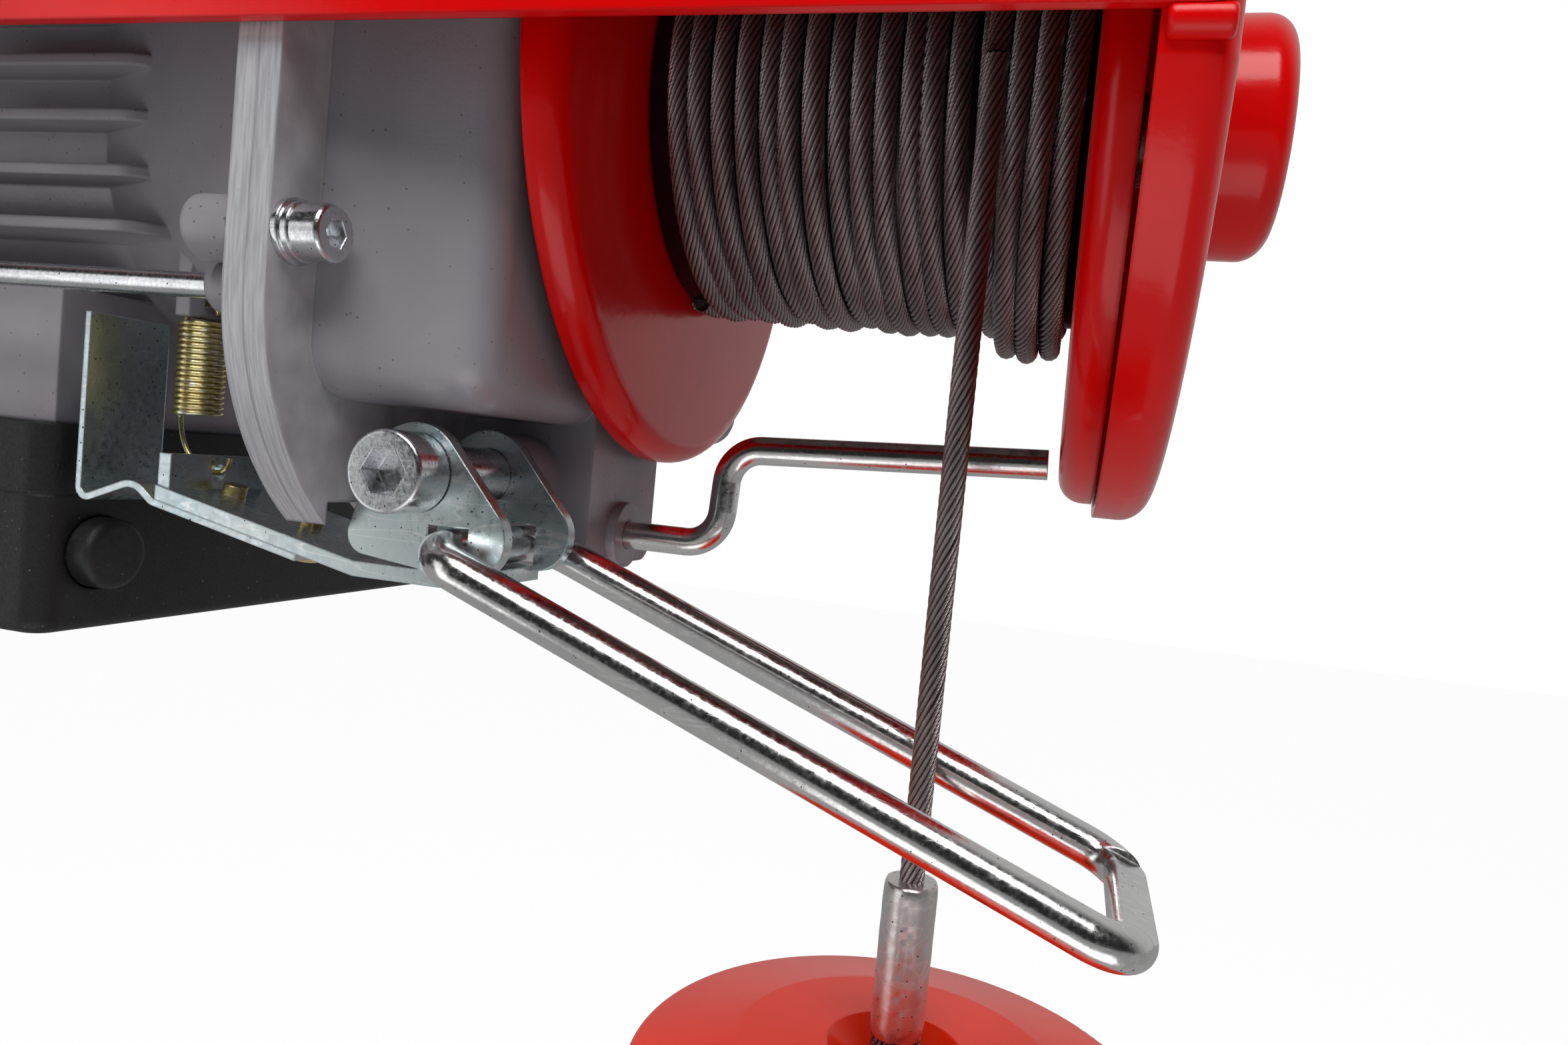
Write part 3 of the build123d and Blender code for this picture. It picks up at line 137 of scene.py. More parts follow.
def mix(tree, factor, low, high):
    """Mixes two colours."""
    node = tree.nodes.new("ShaderNodeMix")
    node.data_type = "RGBA"
    put(tree, factor, node.inputs["Factor"])
    for value, socket in ((low, node.inputs[6]), (high, node.inputs[7])):
        put(tree, (*value, 1) if isinstance(value, tuple) and len(value) == 3 else value, socket)
    return node.outputs[2]


def maths(tree, operation, a, b=0.5):
    """One sum on one or two values; b is left out where the operation has one."""
    node = tree.nodes.new("ShaderNodeMath")
    node.operation = operation
    put(tree, a, node.inputs[0])
    put(tree, b, node.inputs[1])
    return node.outputs[0]


print("helpers ready")

# %% [markdown]
# ## Effects that several finishes share
#
# Cast metal, plated sheet and paint all have a fine grain, a slow change of tone, small
# specks and scratches. Each effect is a node group that gives out values between 0 and 1, and
# each material decides what to do with them. The groups read Object coordinates, so that the
# pattern stays on the piece when the piece moves.

# %% Shared groups
def new_group(name, inputs, outputs):
    """An empty node group with float inputs (name, default) and float outputs."""
    tree = bpy.data.node_groups.new(name, "ShaderNodeTree")
    for label, value in inputs:
        socket = tree.interface.new_socket(label, in_out="INPUT", socket_type="NodeSocketFloat")
        socket.default_value = value
    for label in outputs:
        tree.interface.new_socket(label, in_out="OUTPUT", socket_type="NodeSocketFloat")
    return tree, tree.nodes.new("NodeGroupInput"), tree.nodes.new("NodeGroupOutput")


def grain_group():
    """Fine grain, slow blotches and sparse specks."""
    tree, given, out = new_group("Surface grain", [("Grain size", 900.0), ("Blotch size", 40.0),
                                                   ("Speck size", 260.0), ("Speck share", 0.2)],
                                 ["Grain", "Blotch", "Speck"])
    here = tree.nodes.new("ShaderNodeTexCoord").outputs["Object"]
    grain = add(tree, "ShaderNodeTexNoise", Vector=here, Scale=given.outputs["Grain size"],
                Detail=3.0, Roughness=0.6)
    blotch = add(tree, "ShaderNodeTexNoise", Vector=here, Scale=given.outputs["Blotch size"],
                 Detail=4.0, Roughness=0.55)
    cells = add(tree, "ShaderNodeTexVoronoi", Vector=here, Scale=given.outputs["Speck size"])
    limit = maths(tree, "MULTIPLY", given.outputs["Speck share"], blotch.outputs[0])
    speck = maths(tree, "LESS_THAN", cells.outputs["Distance"], limit)
    found = (("Grain", grain.outputs[0]), ("Blotch", blotch.outputs[0]), ("Speck", speck))
    for name, value in found:
        tree.links.new(value, out.inputs[name])
    return tree


def scratch_group():
    """Thin lines: two stretched noises cut to narrow bands, along X and turned."""
    tree, given, out = new_group("Scratches", [("Size", 120.0), ("Share", 0.04)], ["Scratch"])
    here = tree.nodes.new("ShaderNodeTexCoord").outputs["Object"]
    found = []
    for turn in ((0.3, 0.5, 0.2), (1.1, 0.2, 0.9)):
        place = add(tree, "ShaderNodeMapping", Vector=here, Rotation=turn, Scale=(0.12, 1.0, 1.0))
        lines = add(tree, "ShaderNodeTexNoise", Vector=place.outputs[0],
                    Scale=given.outputs["Size"], Detail=2.0)
        away = maths(tree, "ABSOLUTE", maths(tree, "SUBTRACT", lines.outputs[0], 0.5))
        limit = maths(tree, "MULTIPLY", given.outputs["Share"], 0.1)
        found.append(maths(tree, "LESS_THAN", away, limit))
    tree.links.new(maths(tree, "MAXIMUM", *found), out.inputs["Scratch"])
    return tree


GRAIN = grain_group()
SCRATCH = scratch_group()
print("groups:", GRAIN.name, "and", SCRATCH.name)

# %% [markdown]
# ## A starting point for every material
#
# A material starts with the same parts: a Principled shader, a Bevel node that softens sharp
# sheet edges by a fraction of a millimetre so that they catch light, and a Bump node on top.
# The function hands these back, and each finish then adds its own colour and roughness.

# %% Material base
def finish(name, colour, metallic, roughness, edge=0.0003, bump=0.1, depth=0.0001, **sockets):
    """A material with softened edges; returns (material, tree, shader, bump node)."""
    material = bpy.data.materials.new(name)
    material.use_nodes = True
    tree = material.node_tree
    shader = tree.nodes["Principled BSDF"]
    shader.inputs["Base Color"].default_value = (*colour, 1)
    shader.inputs["Metallic"].default_value = metallic
    shader.inputs["Roughness"].default_value = roughness
    for label, value in sockets.items():
        shader.inputs[label.replace("_", " ")].default_value = value
    bumps = add(tree, "ShaderNodeBump", Strength=bump, Distance=depth)
    if edge:
        soft = add(tree, "ShaderNodeBevel", Radius=edge)
        soft.samples = 4
        tree.links.new(soft.outputs[0], bumps.inputs["Normal"])
    tree.links.new(bumps.outputs[0], shader.inputs["Normal"])
    return material, tree, shader, bumps


def use_group(tree, group, **inputs):
    node = tree.nodes.new("ShaderNodeGroup")
    node.node_tree = group
    for name, value in inputs.items():
        put(tree, value, node.inputs[name.replace("_", " ")])
    return node.outputs


print("material base ready")

# %% [markdown]
# ## Red powder coat
#
# Powder paint is thick and glossy. It flows to a very slightly wavy film, which shows only in
# its reflections, so the wave goes into the bump and not into the colour.

# %% Red paint
def powder_coat(name, colour, deep):
    material, tree, shader, bumps = finish(name, colour, 0.0, 0.24, edge=0.0008, bump=0.12,
                                           depth=0.0004, Coat_Weight=0.12, Coat_Roughness=0.08,
                                           Specular_IOR_Level=0.25)
    marks = use_group(tree, GRAIN, Grain_size=420.0, Blotch_size=25.0, Speck_size=700.0,
                      Speck_share=0.12)
    tone = ramp(tree, marks["Blotch"], [(0.35, 0.0), (0.75, 1.0)])
    tree.links.new(mix(tree, tone, colour, deep), shader.inputs["Base Color"])
    film = ramp(tree, marks["Blotch"], [(0.3, 0.16), (0.8, 0.3)])
    tree.links.new(film, shader.inputs["Roughness"])
    tree.links.new(marks["Grain"], bumps.inputs["Height"])
    return material


red_paint = powder_coat("red_powder_coat", (0.84, 0.0008, 0.0012), (0.68, 0.0006, 0.0012))
disc_paint = powder_coat("orange_red_coat", (0.88, 0.030, 0.003), (0.78, 0.022, 0.003))
print("made", red_paint.name, disc_paint.name)

# %% [markdown]
# ## Painted casting
#
# The case and the housing are die castings under a thin silver-grey paint. The paint keeps the
# mould's fine grain, and handling leaves dark specks and soft stains of grease, most of them
# low down near the lever. Height along Z steers how many there are. The rims where the two
# castings meet are milled after painting, so a narrow band there is barer and has fine lines.

# %% Casting paint
RIM_X = -0.010
RIM_HALF = 0.00375


def casting_paint():
    material, tree, shader, bumps = finish("casting_paint", (0.37, 0.35, 0.385), 0.2, 0.42,
                                           edge=0.0009, bump=0.35, depth=0.00012)
    marks = use_group(tree, GRAIN, Grain_size=1500.0, Blotch_size=32.0, Speck_size=420.0,
                      Speck_share=0.16)
    stains = use_group(tree, GRAIN, Grain_size=90.0, Blotch_size=14.0, Speck_size=120.0,
                       Speck_share=0.25)
    here = tree.nodes.new("ShaderNodeTexCoord").outputs["Object"]
    place = add(tree, "ShaderNodeSeparateXYZ", Vector=here).outputs
    low = add(tree, "ShaderNodeMapRange", Value=place["Z"], From_Min=-0.105, From_Max=-0.168)
    base = mix(tree, ramp(tree, marks["Blotch"], [(0.3, 0.0), (0.75, 1.0)]),
               (0.37, 0.35, 0.385), (0.29, 0.28, 0.31))
    stain = maths(tree, "MULTIPLY", low.outputs[0],
                  ramp(tree, stains["Blotch"], [(0.5, 0.0), (0.72, 0.75)]))
    stained = mix(tree, stain, base, (0.23, 0.215, 0.21))
    specked = mix(tree, maths(tree, "MULTIPLY", marks["Speck"], 0.7), stained, (0.12, 0.11, 0.105))
    off_rim = maths(tree, "ABSOLUTE", maths(tree, "SUBTRACT", place["X"], RIM_X))
    rim = maths(tree, "LESS_THAN", off_rim, RIM_HALF)
    cuts = add(tree, "ShaderNodeMapping", Vector=here, Scale=(1.0, 0.06, 0.06))
    cut_lines = add(tree, "ShaderNodeTexNoise", Vector=cuts.outputs[0], Scale=2600.0, Detail=2.0)
    bare = mix(tree, ramp(tree, cut_lines.outputs[0], [(0.35, 0.0), (0.65, 1.0)]),
               (0.46, 0.46, 0.48), (0.66, 0.66, 0.68))
    rimmed = mix(tree, maths(tree, "MULTIPLY", rim, 0.7), specked, bare)
    tree.links.new(rimmed, shader.inputs["Base Color"])
    dull = ramp(tree, marks["Blotch"], [(0.3, 0.36), (0.8, 0.52)])
    tree.links.new(dull, shader.inputs["Roughness"])
    tree.links.new(marks["Grain"], bumps.inputs["Height"])
    return material


grey_paint = casting_paint()
print("made", grey_paint.name)

# %% [markdown]
# ## Zinc, yellow chromate, bright nickel and bare steel
#
# Plated parts are metal with a thin coloured film. Blue zinc wanders between grey, pale blue
# and a little straw; yellow chromate between gold and green; nickel is bright, with fine
# scratches along its length and small pits. One function makes them all from three colours.

# %% Plated metals
def plated(name, main, film, dark, rough, speck=0.15, scratch=0.06, grain=900.0, bump=0.15,
           blotch=70.0):
    material, tree, shader, bumps = finish(name, main, 1.0, rough[0], edge=0.0004, bump=bump,
                                           depth=0.00008)
    marks = use_group(tree, GRAIN, Grain_size=grain, Blotch_size=blotch, Speck_size=600.0,
                      Speck_share=speck)
    lines = use_group(tree, SCRATCH, Size=160.0, Share=scratch)
    tone = mix(tree, ramp(tree, marks["Blotch"], [(0.38, 0.0), (0.68, 1.0)]), main, film)
    worn = mix(tree, maths(tree, "MULTIPLY", lines["Scratch"], 0.5), tone, (0.85, 0.85, 0.84))
    tree.links.new(mix(tree, marks["Speck"], worn, dark), shader.inputs["Base Color"])
    uneven = ramp(tree, marks["Grain"], [(0.3, rough[0]), (0.75, rough[1])])
    tree.links.new(mix(tree, marks["Speck"], uneven, (0.7, 0.7, 0.7)), shader.inputs["Roughness"])
    height = maths(tree, "SUBTRACT", marks["Grain"], maths(tree, "MULTIPLY", lines["Scratch"], 0.6))
    tree.links.new(height, bumps.inputs["Height"])
    return material


blue_zinc = plated("blue_zinc", (0.62, 0.68, 0.70), (0.50, 0.62, 0.64), (0.10, 0.10, 0.09),
                   (0.24, 0.42), speck=0.2)
bright_nickel = plated("bright_nickel", (0.78, 0.77, 0.76), (0.66, 0.66, 0.66), (0.16, 0.15, 0.14),
                       (0.10, 0.30), speck=0.17, scratch=0.09, grain=1400.0)
bolt_zinc = plated("bolt_zinc", (0.72, 0.73, 0.75), (0.60, 0.62, 0.66), (0.12, 0.12, 0.12),
                   (0.14, 0.34), speck=0.16, scratch=0.08, grain=1600.0)
yellow_zinc = plated("yellow_chromate", (0.78, 0.62, 0.26), (0.62, 0.60, 0.34), (0.20, 0.14, 0.05),
                     (0.18, 0.32), speck=0.12)
machined_steel = plated("machined_steel", (0.56, 0.56, 0.56), (0.46, 0.46, 0.47),
                        (0.10, 0.09, 0.08), (0.22, 0.38))
soft_aluminium = plated("pressed_aluminium", (0.74, 0.73, 0.72), (0.62, 0.60, 0.58),
                        (0.18, 0.16, 0.15), (0.26, 0.42), speck=0.2, scratch=0.12)
print("made 6 metals")

# %% [markdown]
# ## Inner metals
#
# Copper coils, laminated cores and sintered bushes sit inside the housing. They are seen only
# when the hoist is taken apart, and they still get their own surface.

# %% Inner metals
copper_wire = plated("copper_wire", (0.66, 0.24, 0.10), (0.50, 0.16, 0.07), (0.10, 0.04, 0.03),
                     (0.3, 0.5), grain=500.0, bump=0.6)
core_plates = plated("core_plates", (0.20, 0.20, 0.21), (0.14, 0.14, 0.15), (0.05, 0.05, 0.05),
                     (0.4, 0.6))
sintered_bronze = plated("sintered_bronze", (0.52, 0.34, 0.16), (0.42, 0.26, 0.12),
                         (0.08, 0.05, 0.03), (0.4, 0.6))
print("made 3 inner metals")

# %% [markdown]
# ## Plastic and rubber
#
# The control box is moulded with a fine spark-eroded texture that breaks the highlights. The
# rubber caps are smoother and a little greyer where dust settles.

# %% Plastic and rubber
def moulded(name, colour, dusty, roughness, grain, bump):
    material, tree, shader, bumps = finish(name, colour, 0.0, roughness, edge=0.0008, bump=bump,
                                           depth=0.00015)
    marks = use_group(tree, GRAIN, Grain_size=grain, Blotch_size=45.0, Speck_size=500.0,
                      Speck_share=0.16)
    tone = mix(tree, ramp(tree, marks["Blotch"], [(0.45, 0.0), (0.8, 0.6)]), colour, dusty)
    dust = maths(tree, "MULTIPLY", marks["Speck"], 0.35)
    tree.links.new(mix(tree, dust, tone, (0.28, 0.27, 0.26)), shader.inputs["Base Color"])
    tree.links.new(ramp(tree, marks["Grain"], [(0.3, roughness - 0.08), (0.7, roughness + 0.1)]),
                   shader.inputs["Roughness"])
    tree.links.new(marks["Grain"], bumps.inputs["Height"])
    return material


box_plastic = moulded("box_plastic", (0.006, 0.006, 0.0065), (0.014, 0.014, 0.015), 0.5,
                      2200.0, 0.5)
black_rubber = moulded("black_rubber", (0.010, 0.010, 0.010), (0.03, 0.03, 0.03), 0.5, 900.0, 0.2)
fan_plastic = moulded("fan_plastic", (0.02, 0.02, 0.022), (0.04, 0.04, 0.04), 0.5, 1500.0, 0.3)
print("made 3 plastics")

# %% [markdown]
# ## Rope steel
#
# Each strand is a bundle of thin wires that run round it the other way. The wires are too fine
# to model on metres of rope, so they are lines on the strand's own coordinates: the mesh
# carries its length along the rope and its turn round it, and a wave crosses them at an angle.
# The valleys between the wires get painted shade, and the grooves between the strands get a
# deep painted shade, so a groove value darkens the colour there.

# %% Rope material
WIRE_WAVES = 9500.0
WIRES_ROUND = 48.0


def rope_material():
    material, tree, shader, bumps = finish("rope_steel", (0.30, 0.29, 0.28), 0.9, 0.34, edge=0.0,
                                           bump=0.7, depth=0.00012)
    along = tree.nodes.new("ShaderNodeAttribute")
    along.attribute_name = "along"
    groove = tree.nodes.new("ShaderNodeAttribute")
    groove.attribute_name = "groove"
    turn = tree.nodes.new("ShaderNodeAttribute")
    turn.attribute_name = "turn"
    phase = maths(tree, "ADD", maths(tree, "MULTIPLY", along.outputs["Fac"], -WIRE_WAVES),
                  maths(tree, "MULTIPLY", turn.outputs["Fac"], WIRES_ROUND))
    wave = maths(tree, "ADD", maths(tree, "SINE", phase), 1.0)
    wires = maths(tree, "MULTIPLY", wave, 0.5)
    marks = use_group(tree, GRAIN, Grain_size=700.0, Blotch_size=60.0, Speck_size=500.0,
                      Speck_share=0.1)
    tone = mix(tree, ramp(tree, marks["Blotch"], [(0.35, 0.0), (0.7, 1.0)]),
               (0.50, 0.445, 0.44), (0.32, 0.265, 0.26))
    # Painted shade: the colour is darkened in the valleys between the wires.
    wire_valley_shaded = mix(tree, ramp(tree, wires, [(0.1, 0.6), (0.6, 0.0)]), tone, (0.15, 0.12, 0.118))
    # Painted shade: the grooves between the strands are darkened almost to black.
    groove_shade = ramp(tree, groove.outputs["Fac"], [(0.25, 0.0), (0.9, 0.92)])
    tree.links.new(mix(tree, groove_shade, wire_valley_shaded, (0.03, 0.026, 0.024)), shader.inputs["Base Color"])
    dull = ramp(tree, marks["Grain"], [(0.3, 0.28), (0.8, 0.5)])
    tree.links.new(dull, shader.inputs["Roughness"])
    tree.links.new(wires, bumps.inputs["Height"])
    return material


rope_steel = rope_material()
print("made", rope_steel.name)

# %% [markdown]
# ## Dress the construction model
#
# Each record slot gets one of the finishes. A few parts leave their slot's usual finish: the
# bolts are brighter than bent sheet, and the stirrup and the limit rod are nickel plated.

# %% Give each node its finish
slot_finish = {
    "frame_red": red_paint, "casting_grey": grey_paint, "zinc_steel": blue_zinc,
    "plain_steel": machined_steel, "polished_rod": bright_nickel, "yellow_zinc": yellow_zinc,
    "box_black": box_plastic, "rubber_black": black_rubber, "rope_steel": rope_steel,
    "ferrule_aluminium": soft_aluminium, "disc_orange": disc_paint, "copper": copper_wire,
    "core_steel": core_plates, "bronze": sintered_bronze, "fan_plastic": fan_plastic}
brighter = {"case_screws": bolt_zinc, "case_washers": bolt_zinc, "pivot_bolt": bolt_zinc,
            "pivot_sleeve": bolt_zinc, "tie_rods": bolt_zinc, "frame_bolts": bolt_zinc,
            "block_fasteners": bolt_zinc, "lid_screws": bolt_zinc, "limit_rod": bright_nickel}
for part in frame["record"]["subparts"]:
    name = part["node"]
    look = brighter.get(name, slot_finish[part["material_slot"]])
    mesh = nodes[name].data
    mesh.materials.clear()
    mesh.materials.append(look)

# %% [markdown]
# ## The rope as a rule
#
# A rope that must not spin under its load has twelve thin outer strands, which turn slowly
# round a common line. Seen from outside, its section is a ring of twelve arcs, and that section
# turns as it travels. Curve to Mesh does exactly this: it carries a section along a line, and
# the line's tilt turns it. One Geometry Nodes tree therefore serves the wound rope, the free
# rope and the loop.

# %% Rope tree
ROPE_D = 0.004
STRANDS = 12
LAY_LENGTH = 0.024
AROUND = 48
GROOVE_SHARE = 0.16


def rope_tree():
    """Geometry Nodes tree: turns a line into a stranded rope with its own coordinates."""
    tree = bpy.data.node_groups.new("Stranded rope", "GeometryNodeTree")
    face = tree.interface
    face.new_socket("Line", in_out="INPUT", socket_type="NodeSocketGeometry")
    for label, value in (("Step", 0.0013), ("Lay length", LAY_LENGTH), ("Radius", ROPE_D / 2)):
        socket = face.new_socket(label, in_out="INPUT", socket_type="NodeSocketFloat")
        socket.default_value = value
    socket = face.new_socket("Finish", in_out="INPUT", socket_type="NodeSocketMaterial")
    face.new_socket("Rope", in_out="OUTPUT", socket_type="NodeSocketGeometry")
    given = tree.nodes.new("NodeGroupInput")
    out = tree.nodes.new("NodeGroupOutput")
    points = add(tree, "GeometryNodeResampleCurve", Curve=given.outputs["Line"])
    points.mode = "LENGTH"
    put(tree, given.outputs["Step"], points.inputs["Length"])
    place = tree.nodes.new("GeometryNodeSplineParameter")
    turns = maths(tree, "DIVIDE", place.outputs["Length"], given.outputs["Lay length"])
    tilt = add(tree, "GeometryNodeSetCurveTilt", Curve=points.outputs[0],
               Tilt=maths(tree, "MULTIPLY", turns, 2 * math.pi))
    along = store(tree, tilt.outputs[0], "along", place.outputs["Length"])
    circle = add(tree, "GeometryNodeCurvePrimitiveCircle", Resolution=AROUND)
    step = tree.nodes.new("GeometryNodeInputIndex")
    angle = maths(tree, "MULTIPLY", step.outputs[0], 2 * math.pi / AROUND)
    lobe = maths(tree, "SINE", maths(tree, "MULTIPLY", angle, STRANDS / 2))
    lobe = maths(tree, "ABSOLUTE", lobe)
    arc = maths(tree, "MULTIPLY", maths(tree, "POWER", lobe, 0.7), GROOVE_SHARE)
    reach = maths(tree, "MULTIPLY", given.outputs["Radius"],
                  maths(tree, "ADD", 1.0 - GROOVE_SHARE, arc))
    ring = add(tree, "ShaderNodeCombineXYZ",
               X=maths(tree, "MULTIPLY", maths(tree, "COSINE", angle), reach),
               Y=maths(tree, "MULTIPLY", maths(tree, "SINE", angle), reach))
    section = add(tree, "GeometryNodeSetPosition", Geometry=circle.outputs[0],
                  Position=ring.outputs[0])
    section = store(tree, section.outputs[0], "groove", maths(tree, "SUBTRACT", 1.0, lobe))
    section = store(tree, section, "turn", angle)
    mesh = add(tree, "GeometryNodeCurveToMesh", Curve=along, Profile_Curve=section)
    mesh.inputs["Fill Caps"].default_value = True
    smooth = add(tree, "GeometryNodeSetShadeSmooth", Geometry=mesh.outputs[0])
    real = add(tree, "GeometryNodeRealizeInstances", Geometry=smooth.outputs[0])
    done = add(tree, "GeometryNodeSetMaterial", Geometry=real.outputs[0],
               Material=given.outputs["Finish"])
    tree.links.new(done.outputs[0], out.inputs[0])
    return tree


def store(tree, geometry, name, value):
    """Keeps a value on the points under a name that a material can read."""
    node = add(tree, "GeometryNodeStoreNamedAttribute", Geometry=geometry, Name=name)
    node.data_type = "FLOAT"
    node.domain = "POINT"
    put(tree, value, node.inputs["Value"])
    return node.outputs[0]


ROPE_TREE = rope_tree()
print("rope tree has", len(ROPE_TREE.nodes), "nodes")

# %% [markdown]
# ## From a line to a finished mesh
#
# A tree's result is live. The later steps want plain meshes, so the evaluated object is copied
# to a new mesh, and the line and its modifier are thrown away.

# %% Line helpers
def line_object(name, points):
    """A NURBS line through the pull of the given points, its ends on the first and last."""
    data = bpy.data.curves.new(name, "CURVE")
    data.dimensions = "3D"
    data.resolution_u = 6
    data.twist_mode = "MINIMUM"
    spline = data.splines.new("NURBS")
    spline.points.add(len(points) - 1)
    for point, place in zip(spline.points, points):
        point.co = (*place, 1)
    spline.order_u = 3
    spline.use_endpoint_u = True
    obj = bpy.data.objects.new(name, data)
    bpy.context.scene.collection.objects.link(obj)
    return obj


def run_tree(name, line, tree, **inputs):
    """Runs a tree on a line object and returns its result as a plain mesh object."""
    modifier = line.modifiers.new("tree", "NODES")
    modifier.node_group = tree
    keys = {item.name: item.identifier for item in tree.interface.items_tree
            if item.in_out == "INPUT"}
    for label, value in inputs.items():
        modifier[keys[label.replace("_", " ")]] = value
    depsgraph = bpy.context.evaluated_depsgraph_get()
    mesh = bpy.data.meshes.new_from_object(line.evaluated_get(depsgraph), depsgraph=depsgraph)
    mesh.name = name
    old = line.data
    bpy.data.objects.remove(line)
    bpy.data.curves.remove(old)
    obj = bpy.data.objects.new(name, mesh)
    bpy.context.scene.collection.objects.link(obj)
    print(name, "has", len(mesh.polygons), "faces")
    return obj


print("line helpers ready")

# %% [markdown]
# ## The wound rope
#
# The third layer runs the full width of the drum, climbs at the right flange, and a fourth
# layer comes back as far as the place where the rope leaves. Real turns never lie evenly: a
# smooth noise shifts each turn a little sideways and outwards. The turns end at the front,
# moving straight down, so that the free rope simply goes on from there. The mesh is made in
# two stretches, because one alone would be too heavy.

# %% Wound rope
DRUM_Z = -0.077
DRUM_LEFT = 0.030
ROPE_X = 0.0896
ROPE_Y = -0.039628
LAYER_R = 0.0354
CLIMB = 0.0036
CLIMB_TURNS = 0.35
PITCH = 0.00402
WOUND_LEFT = DRUM_LEFT + 0.0027
WOUND_RIGHT = DRUM_LEFT + 0.0722
TURNS_OUT = (WOUND_RIGHT - WOUND_LEFT) / PITCH
TURNS_ALL = TURNS_OUT + (WOUND_RIGHT - ROPE_X) / PITCH + CLIMB_TURNS


def winding_points(first, last, steps_per_turn=24):
    """Points of the two top layers between two turns, in the order of winding."""
    count = int((last - first) * steps_per_turn)
    points = []
    for k in range(count + 1):
        turn = first + (last - first) * k / count
        angle = math.pi - (TURNS_ALL - turn) * 2 * math.pi
        if turn < TURNS_OUT:
            x, r = WOUND_LEFT + turn * PITCH, LAYER_R
        else:
            back = turn - TURNS_OUT
            x = WOUND_RIGHT - max(0.0, back - CLIMB_TURNS) * PITCH
            r = LAYER_R + CLIMB * min(1.0, back / CLIMB_TURNS)
        wander = noise.noise(Vector((turn * 0.9, 3.1, 0.0))) * 0.0012
        swell = noise.noise(Vector((turn * 0.83, 7.7, 1.0))) * 0.0011
        settle = min(1.0, (TURNS_ALL - turn) / 1.5)
        rise = 0.0007 * max(0.0, min(1.0, (x - DRUM_LEFT - 0.012) / 0.02))
        r = r + (swell + rise) * settle
        x = x + wander * settle
        points.append((x, r * math.cos(angle), DRUM_Z + r * math.sin(angle)))
    if last == TURNS_ALL:
        points[-1] = (ROPE_X, ROPE_Y, DRUM_Z)
    return points


SPLIT = int(TURNS_OUT) - 1
wound = run_tree("wound_rope", line_object("winding_line", winding_points(0.0, SPLIT)),
                 ROPE_TREE, Step=0.0020, Finish=rope_steel)
wound_end = run_tree("wound_rope_end", line_object("end_line", winding_points(SPLIT, TURNS_ALL)),
                     ROPE_TREE, Step=0.0020, Finish=rope_steel)
print("wound rope reaches", round(max(v.co.x for v in wound_end.data.vertices), 4))

# %% [markdown]
# Under the top layers there must be no view through to the barrel, so a plain dark drum of
# rope lies inside them. It is only a tube, slightly smaller than the layers that hide it. Its
# groove value is 1 everywhere, so the whole tube is painted with the deepest groove shade.

# %% Under layers
def tube_mesh(name, axis_x, radius_at, around=72):
    """A closed tube about the drum's axis from (x, radius) pairs."""
    mesh = bpy.data.meshes.new(name)
    work = bmesh.new()
    rings = []
    for x, r in zip(axis_x, radius_at):
        rings.append([work.verts.new((x, r * math.cos(a), DRUM_Z + r * math.sin(a)))
                      for a in (2 * math.pi * k / around for k in range(around))])
    for low, high in zip(rings, rings[1:]):
        for k in range(around):
            work.faces.new((low[k], low[(k + 1) % around], high[(k + 1) % around], high[k]))
    work.faces.new(rings[0])
    work.faces.new(reversed(rings[-1]))
    bmesh.ops.recalc_face_normals(work, faces=work.faces)
    for face in work.faces:
        face.smooth = len(face.verts) == 4
    work.to_mesh(mesh)
    work.free()
    obj = bpy.data.objects.new(name, mesh)
    bpy.context.scene.collection.objects.link(obj)
    return obj


under = tube_mesh("rope_under_layers", (DRUM_LEFT + 0.0006, DRUM_LEFT + 0.0744), (0.0347, 0.0347))
under.data.materials.append(rope_steel)
# Painted shade: a groove value of 1 darkens the whole tube to the deepest groove shade.
for label, value in (("along", 0.0), ("groove", 1.0), ("turn", 0.0)):
    store_values = under.data.attributes.new(label, "FLOAT", "POINT")
    store_values.data.foreach_set("value", [value] * len(under.data.vertices))
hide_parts("rope_winding")
for piece in (wound, wound_end, under):
    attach(piece, "drum")
print("wound rope rides on the drum")

# %% [markdown]
# ## The free rope
#
# The rope hangs straight, because the hook pulls it tight. It runs from the front of the drum
# straight down to the top of the ferrule.

# %% Free rope
FERRULE_TOP = -0.2066
free_points = [(ROPE_X, ROPE_Y, DRUM_Z + (FERRULE_TOP - DRUM_Z) * k / 8) for k in range(9)]
free = run_tree("free_rope", line_object("free_line", free_points), ROPE_TREE, Step=0.0009,
                Finish=rope_steel)
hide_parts("rope_free")
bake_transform(free)
print("free rope is", round(DRUM_Z - FERRULE_TOP, 4), "m long at rest")

# %% [markdown]
# ## The rope's loop
#
# Below the ferrule the rope opens, goes round the thimble and comes back up beside itself. Its
# line repeats the route of the construction model.

# %% Loop
def loop_points():
    half, out = 0.00205, 0.0096
    top, neck, side, low = -0.2316, -0.245, -0.259, -0.2736
    heights = [(-half, top), (-half, neck + 0.006), (-half, neck), (-out, side), (-out, -0.264),
               (-out, low), (out, low), (out, -0.264), (out, side), (half, neck),
               (half, neck + 0.006), (half, top)]
    return [(ROPE_X + x, ROPE_Y, z) for x, z in heights]


loop = run_tree("loop_rope", line_object("loop_line", loop_points()), ROPE_TREE, Step=0.0009,
                Finish=rope_steel)
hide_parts("rope_loop")
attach(loop, "hook_block")
print("loop bottom at", round(min(v.co.z for v in loop.data.vertices), 4))

# %% [markdown]
# ## The ferrule
#
# The ferrule is an aluminium tube pressed round both rope ends between two dies. Pressing leaves
# it slightly oval, with a ragged seam on the side where the dies met and ends that draw in a
# little. Rings of points follow the tube, and a noise makes the seam uneven.

